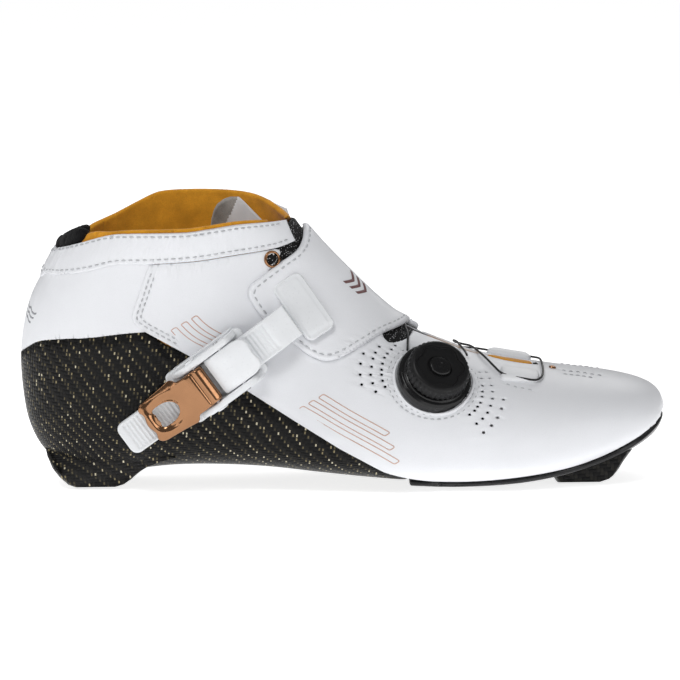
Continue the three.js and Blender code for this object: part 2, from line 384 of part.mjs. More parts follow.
// A profile in (a, v) extruded in h.
function slab(pts, h0, h1, holes = []) {
  const s = flat(pts);
  for (const h of holes) s.holes.push(new THREE.Path(h.map(([x, y]) => new THREE.Vector2(x, y))));
  return placed(new THREE.ExtrudeGeometry(s, { depth: h1 - h0, bevelEnabled: false }).translate(0, 0, h0), bkFrame);
}
// A profile in (a, h) extruded across v.
function rib(pts, v0, v1) {
  const g = new THREE.ExtrudeGeometry(flat(pts), { depth: v1 - v0, bevelEnabled: false });
  g.applyMatrix4(new THREE.Matrix4().makeRotationX(Math.PI / 2)).translate(0, v1, 0);
  return placed(g, bkFrame);
}
function crossPin(a, h, r, v0, v1, seg = 12) {
  const g = new THREE.CylinderGeometry(r, r, v1 - v0, seg);
  return placed(g.translate(0, (v0 + v1) / 2, 0).applyMatrix4(new THREE.Matrix4().setPosition(a, 0, h)), bkFrame);
}
const LAD_H0 = 3.0, LAD_H1 = LAD_H0 + LADDER_T + 0.7;
const PIV_A = 41.5, PIV_H = 9.2, REL_A = 54.5, REL_H = 8.4;
// Base: floor plate under the ladder and two side walls.
const floorPlan = [[29, -11.6], [30.5, -12.2], [64, -11.2], [65.5, -9.5], [65.5, 9.5], [64, 11.2], [30.5, 12.2], [29, 11.6], [27.5, 8], [27.5, -8]];
const wall = (v0, v1) => rib([[30.5, -1.5], [64, -1.5], [62.5, 5], [59, 9.8], [52, 10.6], [46, 11.6], [38, 11.6], [33, 7]], v0, v1);
let base = slab(floorPlan, -1.5, 2.5).add(wall(8.6, 11.4)).add(wall(-11.4, -8.6));
base = base.subtract(form(-GAP)).subtract(crossPin(PIV_A, PIV_H, 1.45, -13, 13)).subtract(crossPin(REL_A, REL_H, 1.45, -13, 13)).subtract(slab(roundRect(33.6, -1.9, 37.4, 1.9, 1.8), -3, 3));
add("buckle_base", base, ...PLASTIC);
{
  const g = new THREE.CylinderGeometry(1.5, 1.5, 2.0, 12);
  g.rotateX(Math.PI / 2).translate(35.5, 0, 1.3);
  add("buckle_rivet", placed(g, bkFrame).subtract(form(-GAP)), ...STEEL);
}
add("lever_pin", crossPin(PIV_A, PIV_H, 1.15, -11.6, 11.6), ...STEEL);
add("release_pin", crossPin(REL_A, REL_H, 1.15, -11.6, 11.6), ...STEEL);
// Lever: curved polished plate with a D-shaped window, hub round its pin.
const leverSide = rib([[12.2, 8.4], [14, 7.2], [20, 8.6], [28, 10.2], [36, 11.4], [38, 7.2], [41.5, 6.4], [44.2, 8.0], [44.4, 10.6], [42.5, 12.3], [36, 13.4], [28, 12.2], [20, 10.6], [13.4, 9.4]], -12, 12);
const leverPlan = slab([[12.2, -7], [13.6, -8.6], [15.5, -9.2], [24, -9.9], [30, -10.6], [31.4, -9.8], [32.4, -8.2], [44.6, -8.2], [44.6, 8.2], [32.4, 8.2], [31.4, 9.8], [30, 10.6], [24, 9.9], [15.5, 9.2], [13.6, 8.6], [12.2, 7]], 0, 20);
const dWindow = slab([[17.6, -4.4], [22, -4.6], [25.4, -3.6], [27.4, -1.8], [28, 0], [27.4, 1.8], [25.4, 3.6], [22, 4.6], [17.6, 4.4], [17.2, 2], [17.2, -2]], 0, 20);
add("buckle_lever", leverSide.intersect(leverPlan).subtract(dWindow).subtract(crossPin(PIV_A, PIV_H, 1.45, -13, 13)).subtract(slab([[36.5, -5.2], [48, -5.2], [48, 5.2], [36.5, 5.2]], 0, 9.6)), ...GOLD);
add("drive_pawl", rib([[38.2, 8.8], [37.6, 6.4], [38.4, 5.7], [39.6, 6.6], [42.6, 6.9], [43.4, 8.8], [42.8, 9.2], [38.8, 9.2]], -4.8, 4.8).subtract(crossPin(PIV_A, PIV_H, 1.45, -13, 13)), ...STEEL);
// Release lever: cover over the ladder, with side ears on its pin and a toe that locks the ladder.
const relSide = rib([[46.6, 8.7], [50.2, 7.4], [52, 6.6], [57, 6.6], [64.2, 8.8], [65.4, 9.8], [64.6, 10.8], [58, 10.6], [54.5, 11.0], [50, 10.8], [47.4, 9.9]], -8.2, 8.2);
add("release_lever", relSide.subtract(crossPin(REL_A, REL_H, 1.45, -13, 13)), ...PLASTIC);
// Ladder strap: straight through the buckle, then bent down to the anchor plate.
const LADDER_END = 86.3;
const teeth = [];
for (let a = 4; a < 74; a += 3.5) teeth.push([a, LAD_H0 + LADDER_T], [a + 0.2, LAD_H1], [a + 1.3, LAD_H1], [a + 2.4, LAD_H0 + LADDER_T]);
const ladderSide = rib([[0, LAD_H0], [66, LAD_H0], [76, 2.2], [88.4, -1.6], [88.9, -0.1], [76.6, 3.8], ...rev(teeth), [0, LAD_H0 + LADDER_T]], -LADDER_W / 2, LADDER_W / 2);
const ladderPlan = slab(roundRect(0, -LADDER_W / 2, 120, LADDER_W / 2, 3.2), -20, 20);
// The slide carries plate and ladder along a; strap room is cleared over that travel.
const SLIDE = [-3, 0, 3, 6];
const strapRoom = form(-STRAP_OUT - 0.35);
const slid = (q) => strapRoom.translate([-bkE1.x * q, 0, -bkE1.z * q]);
let ladder = ladderSide.intersect(ladderPlan);
let plate = slab(roundRect(83.8, -13, 97.7, 14.7, 3.2), -14, 8).intersect((() => {
  const c = lifted(16.42, 0.755, STRAP_OUT, -1), n = normalOnForm(16.42, 0.755, -1);
  const e1 = bkE1.clone().addScaledVector(n, -bkE1.dot(n)).normalize(), e2 = n.clone().cross(e1);
  return placed(new THREE.BoxGeometry(60, 60, 5.4).translate(0, 0, 0.5), frameOf(c, e1, e2, n));
})());
for (const q of SLIDE) { ladder = ladder.subtract(slid(q)); plate = plate.subtract(slid(q)); }
plate = plate.subtract(rib([[0, -20], [89.3, -20], [89.3, -1.9], [76, 4.4], [0, 9]], -LADDER_W / 2 - 0.3, LADDER_W / 2 + 0.3));
add("ladder_strap", ladder, ...PLASTIC);
add("anchor_plate", plate, ...PLASTIC);

export default group;
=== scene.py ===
import bpy, bmesh, math
import numpy as np
from mathutils import Vector, Matrix, Quaternion
from mathutils.geometry import delaunay_2d_cdt
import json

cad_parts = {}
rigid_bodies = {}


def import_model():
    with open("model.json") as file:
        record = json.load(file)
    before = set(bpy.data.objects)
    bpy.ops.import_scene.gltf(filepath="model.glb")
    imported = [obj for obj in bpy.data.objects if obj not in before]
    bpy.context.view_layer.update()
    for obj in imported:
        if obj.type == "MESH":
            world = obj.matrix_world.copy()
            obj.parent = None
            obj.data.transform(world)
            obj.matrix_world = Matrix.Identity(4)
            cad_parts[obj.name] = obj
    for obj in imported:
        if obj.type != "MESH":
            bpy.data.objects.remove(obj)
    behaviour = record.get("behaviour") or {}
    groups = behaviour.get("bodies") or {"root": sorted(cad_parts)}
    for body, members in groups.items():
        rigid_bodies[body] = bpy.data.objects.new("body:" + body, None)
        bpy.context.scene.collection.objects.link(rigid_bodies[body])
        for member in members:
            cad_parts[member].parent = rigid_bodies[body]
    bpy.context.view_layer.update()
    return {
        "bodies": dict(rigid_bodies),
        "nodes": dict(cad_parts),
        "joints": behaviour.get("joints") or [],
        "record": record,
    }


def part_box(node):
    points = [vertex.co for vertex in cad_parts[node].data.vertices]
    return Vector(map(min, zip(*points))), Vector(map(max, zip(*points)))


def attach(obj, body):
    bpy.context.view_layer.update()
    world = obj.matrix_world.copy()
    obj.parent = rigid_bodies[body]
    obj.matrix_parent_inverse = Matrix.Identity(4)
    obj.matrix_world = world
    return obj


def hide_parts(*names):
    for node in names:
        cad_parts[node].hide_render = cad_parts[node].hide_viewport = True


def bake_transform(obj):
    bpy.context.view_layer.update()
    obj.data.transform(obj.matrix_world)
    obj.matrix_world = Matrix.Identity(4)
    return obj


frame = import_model()

# ------------------------------------------------------------------ foot form (same sections as the CAD, mm)
SHIFT = np.array([-0.93, 1.76, 0.9])
ST = np.array([
 [132.8,29.1,132.8,27.6,2.0,7.0,.50,2.2,2.1,1.0],[131.7,33.0,131.8,23.2,10.5,7.0,.48,2.3,2.1,.85],
 [129.3,35.9,129.5,19.3,17.0,6.5,.46,2.4,2.1,.65],[125.5,38.4,125.5,16.3,23.5,5.5,.45,2.5,2.1,.45],
 [120.0,40.6,120.0,13.4,29.5,4.5,.44,2.6,2.1,.30],[112.4,42.5,112.4,10.6,35.0,3.5,.42,2.8,2.1,.18],
 [103.5,43.9,103.0,7.6,38.7,2.7,.40,3.0,2.1,.10],[91.3,45.6,90.0,4.4,42.0,1.5,.38,3.2,2.1,.05],
 [78.0,47.8,75.0,2.2,44.0,0.5,.36,3.4,2.05,0],[65.0,50.2,60.0,1.3,44.5,-0.5,.34,3.5,2.0,0],
 [52.0,53.6,44.0,1.1,43.8,-1.2,.32,3.5,1.95,0],[41.0,58.0,28.0,1.7,42.3,-1.7,.30,3.5,1.9,0],
 [31.0,62.4,10.0,3.0,40.2,-1.7,.29,3.4,1.85,0],[22.0,68.2,-10.0,4.9,38.0,-1.5,.28,3.3,1.8,0],
 [14.5,74.6,-30.0,7.0,36.3,-1.2,.29,3.2,1.8,0],[8.0,80.8,-50.0,7.8,35.0,-1.0,.31,3.0,1.8,0],
 [2.5,86.4,-70.0,7.4,34.3,-0.8,.34,2.8,1.85,0],[-2.0,91.0,-90.0,5.0,34.0,-0.5,.37,2.5,1.9,0],
 [-6.0,95.2,-108.0,4.0,33.7,-0.3,.41,2.3,2.0,0],[-10.0,99.6,-122.0,12.0,33.5,0.0,.44,2.2,2.1,0],
 [-13.5,103.8,-129.3,24.0,33.3,0.0,.46,2.15,2.2,0],[-16.0,107.2,-132.3,40.0,33.2,0.0,.48,2.15,2.25,0],
 [-18.2,110.4,-132.6,58.0,33.2,0.0,.49,2.15,2.3,0],[-20.2,113.4,-128.7,77.0,33.3,0.0,.50,2.15,2.35,0],
 [-22.2,116.4,-120.8,92.0,33.5,0.0,.50,2.2,2.4,0],[-24.2,119.4,-115.0,103.,33.8,0.0,.50,2.2,2.4,0],
 [-26.2,122.4,-111.3,113.,34.0,0.0,.50,2.2,2.4,0],[-28.2,125.4,-109.5,122.,34.2,0.0,.50,2.2,2.4,0]])
def catrom(tab, u):
    n = len(tab); u = min(max(u, 0), n-1-1e-9); i = int(u); f = u-i
    p = lambda k: tab[min(max(k, 0), n-1)]
    a, b, c, d = p(i-1), p(i), p(i+1), p(i+2)
    if i == 0: a = 2*b-c
    if i+2 > n-1: d = 2*c-b
    return .5*((2*b)+(-a+c)*f+(2*a-5*b+4*c-d)*f*f+(-a+3*b-3*c+d)*f**3)
def half_section(W, vm, nl, nu, m, length):
    a = np.linspace(0, np.pi/2, 160); s = np.sin(a); c = np.cos(a)
    v = np.r_[vm-vm*np.abs(c)**(2/nl), (vm+(1-vm)*np.abs(s)**(2/nu))[1:]]
    y = np.r_[W*np.abs(s)**(2/nl), (W*np.abs(c)**(2/nu))[1:]]
    L = np.r_[0, np.cumsum(np.hypot(np.diff(v)*length, np.diff(y)))]
    t = np.linspace(0, L[-1], m+1)
    return np.interp(t, L, v), np.interp(t, L, y)
UMAX = 27.0; NU = 541; MS = 160
def form_table():
    P = np.zeros((NU, 2*MS+1, 3))
    for i, u in enumerate(np.linspace(0, UMAX, NU)):
        r = catrom(ST, u); T, B = r[0:2], r[2:4]
        v, y = half_section(r[4], r[6], r[7], r[8], MS, np.linalg.norm(T-B))
        Q = B[None]+v[:, None]*(T-B)[None]
        lat = np.c_[Q[:, 0], r[5]-y, Q[:, 1]]; med = np.c_[Q[::-1, 0], r[5]+y[::-1], Q[::-1, 1]]
        P[i] = np.r_[lat, med[1:]]
    du = np.gradient(P, axis=0)
    ext = np.concatenate([P[:, -3:-1], P, P[:, 1:3]], 1)
    ds = np.gradient(ext, axis=1)[:, 2:-2]
    N = np.cross(du, ds); N /= np.maximum(np.linalg.norm(N, axis=2, keepdims=True), 1e-9)
    C = P.mean(axis=1, keepdims=True)
    if (N*(P-C)).sum(2).mean() < 0: N = -N
    N[0] = N[1] = N[2]*.3+np.array([1, 0, 0])*.7
    N /= np.linalg.norm(N, axis=2, keepdims=True)
    return P, N
FP, FN = form_table()
def fetch(tab, u, s):
    u = np.clip(np.asarray(u, float)/UMAX*(NU-1), 0, NU-1.0001); s = (np.asarray(s, float) % 2.0)*MS
    s = np.clip(s, 0, 2*MS-1e-4)
    i = u.astype(int); j = s.astype(int); f = (u-i)[..., None]; g = (s-j)[..., None]
    return (tab[i, j]*(1-f)*(1-g)+tab[i+1, j]*f*(1-g)+tab[i, j+1]*(1-f)*g+tab[i+1, j+1]*f*g)
def on_form(u, s, h=0.0):
    n = fetch(FN, u, s); n /= np.linalg.norm(n, axis=-1, keepdims=True)
    return fetch(FP, u, s)+n*np.asarray(h, float)[..., None]
GU = np.linspace(0, UMAX, NU)[:, None]*np.ones((1, 2*MS+1)); GS = np.linspace(0, 2, 2*MS+1)[None]*np.ones((NU, 1))
def invert(coord, axes, side):
    """(u, s) whose point has these coordinates along two axes: side lat, med or top."""
    if side == "lat": sl = (slice(None), slice(2, MS+1))
    elif side == "med": sl = (slice(None), slice(MS, 2*MS-1))
    else: sl = (slice(None), slice(MS//2, MS+MS//2))
    A = FP[sl][..., list(axes)]; U = GU[sl]; S = GS[sl]
    d = ((A-np.array(coord, float))**2).sum(2)
    i, j = np.unravel_index(np.argmin(d), d.shape)
    i = min(max(i, 1), d.shape[0]-2); j = min(max(j, 1), d.shape[1]-2)
    J = np.c_[(A[i+1, j]-A[i-1, j])/2, (A[i, j+1]-A[i, j-1])/2]
    try: ab = np.clip(np.linalg.solve(J, np.array(coord, float)-A[i, j]), -1.2, 1.2)
    except np.linalg.LinAlgError: ab = np.zeros(2)
    return U[i, j]+ab[0]*UMAX/(NU-1), S[i, j]+ab[1]/MS
def dense(pts, step=1.6, smooth=False):
    pts = np.array(pts, float)
    if smooth and len(pts) > 2:
        out = []
        for k in range(len(pts)-1):
            n = max(2, int(np.linalg.norm(pts[k+1]-pts[k])/step)+1)
            for f in np.linspace(0, 1, n, endpoint=False): out.append(catrom(pts, k+f))
        return np.array(out+[pts[-1]])
    out = []
    for a, b in zip(pts[:-1], pts[1:]):
        n = max(1, int(np.ceil(np.linalg.norm(b-a)/step)))
        out += [a+(b-a)*f for f in np.linspace(0, 1, n, endpoint=False)]
    return np.array(out+[pts[-1]])
def lat(pts, step=1.6, smooth=True): return np.array([invert(p, (0, 2), "lat") for p in dense(pts, step, smooth)])
def med(pts, step=1.6, smooth=True): return np.array([invert(p, (0, 2), "med") for p in dense(pts, step, smooth)])
def top(pts, step=1.6, smooth=True): return np.array([invert(p, (0, 1), "top") for p in dense(pts, step, smooth)])
def disc(us): us = np.asarray(us, float); return np.c_[us[:, 0]*np.cos(np.pi*us[:, 1]), us[:, 0]*np.sin(np.pi*us[:, 1])]
def undisc(q): return np.hypot(q[:, 0], q[:, 1]), (np.arctan2(q[:, 1], q[:, 0])/np.pi) % 2.0

# ------------------------------------------------------------------ mesh making
def inside(poly, pts):
    x, y = pts[:, 0], pts[:, 1]; r = np.zeros(len(pts), bool)
    x0, y0 = poly[:, 0], poly[:, 1]; x1, y1 = np.roll(x0, -1), np.roll(y0, -1)
    for a, b, c, d in zip(x0, y0, x1, y1):
        if b == d: continue
        m = ((b > y) != (d > y)); r ^= m & (x < (c-a)*(y-b)/(d-b)+a)
    return r
def nearest(points, targets):
    if len(targets) == 0: return np.full(len(points), 1e9)
    out = np.empty(len(points))
    for k in range(0, len(points), 2000):
        out[k:k+2000] = np.sqrt(((points[k:k+2000, None]-targets[None])**2).sum(2)).min(1)
    return out
def clean_loop(q, tol=1e-5):
    keep = [q[0]]
    for p in q[1:]:
        if np.linalg.norm(p-keep[-1]) > tol: keep.append(p)
    if np.linalg.norm(keep[0]-keep[-1]) <= tol: keep.pop()
    return np.array(keep)
def new_object(name, verts, faces, smooth=True):
    me = bpy.data.meshes.new(name); me.from_pydata([tuple(v) for v in verts], [], faces); me.update()
    ob = bpy.data.objects.new(name, me); bpy.context.scene.collection.objects.link(ob)
    if smooth: me.shade_smooth()
    return ob
def to_m(P): return (np.asarray(P)+SHIFT)/1000.0
def sheet_mesh(name, outline, mapper, grid, h_top, h_bot, roll=0.8, holes=(), grooves=(), double=False, shape=None, edge=0.3, resample=0.9, uv=None, offset=True):
    """A thick panel over a 2-D domain: outline and holes are loops in the domain, mapper(q, h) gives 3-D points.
    Its rim rolls over by roll mm, grooves are domain polylines pressed into the face, shape(q, d) adds height."""
    h0 = np.zeros
    def resampled(loop):
        loop = clean_loop(loop); P = mapper(loop, h0(len(loop))); out = []
        for k in range(len(loop)):
            a, b = loop[k], loop[(k+1) % len(loop)]
            n = max(1, int(round(np.linalg.norm(P[(k+1) % len(loop)]-P[k])/resample)))
            out += [a+(b-a)*f for f in np.linspace(0, 1, n, endpoint=False)]
        return np.array(out)
    loops = [resampled(outline)]+[clean_loop(np.array(h)) for h in holes]
    rim3 = np.concatenate([mapper(l, h0(len(l))) for l in loops])
    pts = grid[inside(loops[0], grid)]
    for l in loops[1:]: pts = pts[~inside(l, pts)]
    extra = []
    if offset:
        for l in loops:
            P = mapper(l, h0(len(l)))
            nxt, prv = np.roll(l, -1, 0), np.roll(l, 1, 0)
            t = nxt-prv; nrm = np.c_[-t[:, 1], t[:, 0]]; nrm /= np.maximum(np.linalg.norm(nrm, axis=1, keepdims=True), 1e-12)
            eps = 1e-3; Q = mapper(l+nrm*eps, h0(len(l))); sc = eps/np.maximum(np.linalg.norm(Q-P, axis=1), 1e-9)
            for dd in ((.12, .35, .7, 1.1) if roll < 1.2 else (.1, .3, .6, 1.0, 1.5)):
                for sg in (1, -1): extra.append(l+nrm*(sc*dd*roll*sg)[:, None])
    for g in grooves:
        g = np.asarray(g); P = mapper(g, h0(len(g))); t = np.gradient(g, axis=0); nrm = np.c_[-t[:, 1], t[:, 0]]; nrm /= np.maximum(np.linalg.norm(nrm, axis=1, keepdims=True), 1e-12)
        eps = 1e-3; Q = mapper(g+nrm*eps, h0(len(g))); sc = eps/np.maximum(np.linalg.norm(Q-P, axis=1), 1e-9)
        for dd in (0, .55, -.55, 1.2, -1.2): extra.append(g+nrm*(sc*dd)[:, None])
    if extra:
        ex = np.concatenate(extra); ex = ex[inside(loops[0], ex)]
        for l in loops[1:]: ex = ex[~inside(l, ex)]
        exp = mapper(ex, h0(len(ex)))
        dist = nearest(exp, rim3); ex = ex[dist > .08*roll]; exp = exp[dist > .08*roll]
        p3 = mapper(pts, h0(len(pts))); far = nearest(p3, exp) > 0.5*resample if len(exp) else np.ones(len(pts), bool)
        pts = np.concatenate([pts[far], ex])
    else:
        p3 = mapper(pts, h0(len(pts))); pts = pts[nearest(p3, rim3) > .3*resample]
    allp = np.concatenate(loops+[pts]); edges = []; k = 0
    for l in loops:
        edges += [(k+i, k+(i+1) % len(l)) for i in range(len(l))]; k += len(l)
    v2, e2, f2, ov, oe, of = delaunay_2d_cdt([Vector((float(a), float(b))) for a, b in allp], edges, [], 0, 1e-7)
    q = np.array([(v[0], v[1]) for v in v2]); F = np.array([f for f in f2 if len(f) == 3])
    cen = q[F].mean(1); keep = inside(loops[0], cen)
    for l in loops[1:]: keep &= ~inside(l, cen)
    F = F[keep]; used = np.unique(F); remap = -np.ones(len(q), int); remap[used] = np.arange(len(used)); q = q[used]; F = remap[F]
    base = mapper(q, h0(len(q)))
    d = nearest(base, rim3)
    x = np.clip(d/roll, 0, 1); f = np.sqrt(np.maximum(0, 1-(1-x)**2))
    add = shape(q, d) if shape else 0.0
    for g in grooves:
        gd = nearest(base, mapper(dense_dom(g, mapper), h0(len(dense_dom(g, mapper))))); add = add-0.28*np.exp(-(gd/.5)**2)
    t = h_top-h_bot; f = edge+(1-edge)*f
    if double: hi = (h_top+h_bot)/2+t/2*f+add; lo = (h_top+h_bot)/2-t/2*f
    else: hi = h_bot+t*f+add; lo = np.full(len(q), h_bot)
    A = mapper(q, hi); B = mapper(q, lo); n = len(q)
    tri = A[F]; nn = np.cross(tri[:, 1]-tri[:, 0], tri[:, 2]-tri[:, 0]); up = (A-B)[F].mean(1)
    flip = ((nn*up).sum(1) < 0); F[flip] = F[flip][:, ::-1]
    faces = [tuple(int(i) for i in t_) for t_ in F]+[(int(c)+n, int(b)+n, int(a)+n) for a, b, c in F]
    ed = {}
    for a, b, c in F:
        for e in ((a, b), (b, c), (c, a)): ed[(int(e[0]), int(e[1]))] = 1
    for (a, b) in list(ed):
        if (b, a) not in ed: faces.append((b, a, a+n, b+n))
    ob = new_object(name, to_m(np.concatenate([A, B])), faces)
    if uv is not None:
        W = uv(np.concatenate([A, B])); lay = ob.data.uv_layers.new(name="UVMap")
        li = np.empty(len(ob.data.loops), np.int32); ob.data.loops.foreach_get("vertex_index", li)
        lay.data.foreach_set("uv", (W[li]/100.0).astype(np.float32).ravel())
    return ob
def dense_dom(g, mapper, step=0.5):
    g = np.asarray(g); P = mapper(g, np.zeros(len(g))); out = []
    for k in range(len(g)-1):
        n = max(1, int(np.linalg.norm(P[k+1]-P[k])/step)); out += [g[k]+(g[k+1]-g[k])*f for f in np.linspace(0, 1, n, endpoint=False)]
    return np.array(out+[g[-1]])
def form_map(q, h): u, s = undisc(q); return on_form(u, s, h)
def form_grid(step=2.0):
    out = [[0.0, 0.0]]
    us = [0.0]; mid = np.linalg.norm(np.diff(FP, axis=0), axis=2).mean(1); L = np.r_[0, np.cumsum(mid)]
    for t in np.arange(step*.5, L[-1], step): us.append(np.interp(t, L, np.linspace(0, UMAX, NU)))
    for k, u in enumerate(us[1:]):
        i = int(u/UMAX*(NU-1)); per = np.linalg.norm(np.diff(FP[i], axis=0), axis=1).sum(); n = max(8, int(per/step))
        for s in (np.arange(n)+.5*(k % 2))*2/n: out.append([u*math.cos(math.pi*s), u*math.sin(math.pi*s)])
    return np.array(out)
GRID = form_grid(2.1)
def panel(name, outline_us, h_top, h_bot, **kw):
    o = disc(outline_us); kw.setdefault("grid", GRID)
    kw["holes"] = [disc(h) for h in kw.get("holes", ())]; kw["grooves"] = [disc(g) for g in kw.get("grooves", ())]
    return sheet_mesh(name, o, form_map, h_top=h_top, h_bot=h_bot, **kw)
def loop_of(*parts): return np.concatenate(parts)
def rev(a): return a[::-1]

# stitches: one small rounded thread bump each, sunk at both ends
def stitches(name, paths, pitch=3.0, length=2.2, r=0.34, h=0.05):
    """paths: list of (domain polyline, mapper). All stitches of a group are one mesh."""
    V, Fc = [], []
    ring = [(math.cos(a), math.sin(a)) for a in np.linspace(0, 2*np.pi, 6, endpoint=False)]
    for line, mapper in paths:
        q = dense_dom(line, mapper, .4); P = mapper(q, np.full(len(q), h)); P2 = mapper(q, np.full(len(q), h+1.0)); N = P2-P
        L = np.r_[0, np.cumsum(np.linalg.norm(np.diff(P, axis=0), axis=1))]; n = int(L[-1]//pitch)
        for k in range(n):
            c = (k+.5)*L[-1]/n; at = lambda t: np.array([np.interp(t, L, P[:, j]) for j in range(3)])
            nn = np.array([np.interp(c, L, N[:, j]) for j in range(3)]); nn /= np.linalg.norm(nn)
            a, b = at(c-length/2), at(c+length/2); tdir = (b-a)/max(np.linalg.norm(b-a), 1e-9); side = np.cross(tdir, nn); base = len(V)
            for fi, (f, rr, hh) in enumerate([(0, .35, -.28), (.12, .8, -.05), (.35, 1, .06), (.65, 1, .06), (.88, .8, -.05), (1, .35, -.28)]):
                cc = at(c-length/2+length*f)+nn*hh
                for (x, y) in ring: V.append(cc+side*(x*r*rr)+nn*(y*r*rr*.8))
            for i in range(5):
                for j in range(6): Fc.append((base+i*6+j, base+i*6+(j+1) % 6, base+(i+1)*6+(j+1) % 6, base+(i+1)*6+j))
            Fc.append(tuple(base+j for j in range(6))[::-1]); Fc.append(tuple(base+30+j for j in range(6)))
    return new_object(name, to_m(V), Fc)
def offset_us(us, d, side=1):
    """A polyline in (u, s) moved sideways by d mm along the form."""
    q = disc(us); P = form_map(q, np.zeros(len(q))); t = np.gradient(q, axis=0); nrm = np.c_[-t[:, 1], t[:, 0]]*side
    nrm /= np.maximum(np.linalg.norm(nrm, axis=1, keepdims=True), 1e-12); eps = 1e-3
    Q = form_map(q+nrm*eps, np.zeros(len(q))); sc = eps/np.maximum(np.linalg.norm(Q-P, axis=1), 1e-9)
    q2 = q+nrm*(sc*d)[:, None]; u, s = undisc(q2); return np.c_[u, s]
def form_path(us): return (disc(us), form_map)


# ------------------------------------------------------------------ materials
def material(name):
    m = bpy.data.materials.new(name); m.use_nodes = True; nt = m.node_tree; nt.nodes.clear()
    out = nt.nodes.new("ShaderNodeOutputMaterial"); b = nt.nodes.new("ShaderNodeBsdfPrincipled"); nt.links.new(b.outputs[0], out.inputs[0])
    return m, nt, b
class Net:
    def __init__(self, nt): self.nt = nt
    def node(self, kind, **kw):
        n = self.nt.nodes.new(kind)
        for k, v in kw.items(): setattr(n, k, v)
        return n
    def put(self, sock, v):
        if isinstance(v, bpy.types.NodeSocket): self.nt.links.new(v, sock)
        else: sock.default_value = v
    def math(self, op, a, b=0.0, c=0.0, clamp=False):
        n = self.node("ShaderNodeMath", operation=op, use_clamp=clamp)
        self.put(n.inputs[0], a); self.put(n.inputs[1], b)
        if len(n.inputs) > 2: self.put(n.inputs[2], c)
        return n.outputs[0]
    def noise(self, vec, scale, detail=2.0, rough=.5, dim="3D"):
        n = self.node("ShaderNodeTexNoise", noise_dimensions=dim); self.put(n.inputs["Vector"], vec); n.inputs["Scale"].default_value = scale; n.inputs["Detail"].default_value = detail; n.inputs["Roughness"].default_value = rough
        return n.outputs["Fac"]
    def voronoi(self, vec, scale, feature="F1", out="Distance", rand=1.0):
        n = self.node("ShaderNodeTexVoronoi", feature=feature); self.put(n.inputs["Vector"], vec); n.inputs["Scale"].default_value = scale; n.inputs["Randomness"].default_value = rand
        return n.outputs[out]
    def ramp(self, fac, stops):
        n = self.node("ShaderNodeValToRGB"); self.put(n.inputs[0], fac); r = n.color_ramp
        while len(r.elements) < len(stops): r.elements.new(.5)
        for e, (p, c) in zip(r.elements, stops): e.position = p; e.color = (*c, 1) if len(c) == 3 else c
        return n.outputs[0]
    def mix(self, f, a, b):
        n = self.node("ShaderNodeMix", data_type="RGBA"); self.put(n.inputs[0], f); self.put(n.inputs[6], a if not isinstance(a, tuple) else (*a[:3], 1)); self.put(n.inputs[7], b if not isinstance(b, tuple) else (*b[:3], 1))
        return n.outputs[2]
    def maprange(self, v, a, b, c, d):
        n = self.node("ShaderNodeMapRange"); self.put(n.inputs[0], v); n.inputs[1].default_value = a; n.inputs[2].default_value = b; n.inputs[3].default_value = c; n.inputs[4].default_value = d
        return n.outputs[0]
    def bump(self, h, strength, dist, normal=None):
        n = self.node("ShaderNodeBump"); self.put(n.inputs["Height"], h); n.inputs["Strength"].default_value = strength; n.inputs["Distance"].default_value = dist
        if normal is not None: self.put(n.inputs["Normal"], normal)
        return n.outputs[0]
    def obj(self): return self.node("ShaderNodeTexCoord").outputs["Object"]
    def uv(self): return self.node("ShaderNodeTexCoord").outputs["UV"]
    def sep(self, v):
        n = self.node("ShaderNodeSeparateXYZ"); self.put(n.inputs[0], v); return n.outputs
    def comb(self, x=0.0, y=0.0, z=0.0):
        n = self.node("ShaderNodeCombineXYZ"); self.put(n.inputs[0], x); self.put(n.inputs[1], y); self.put(n.inputs[2], z); return n.outputs[0]
    def white(self, vec):
        n = self.node("ShaderNodeTexWhiteNoise", noise_dimensions="3D"); self.put(n.inputs["Vector"], vec); return n.outputs["Value"]

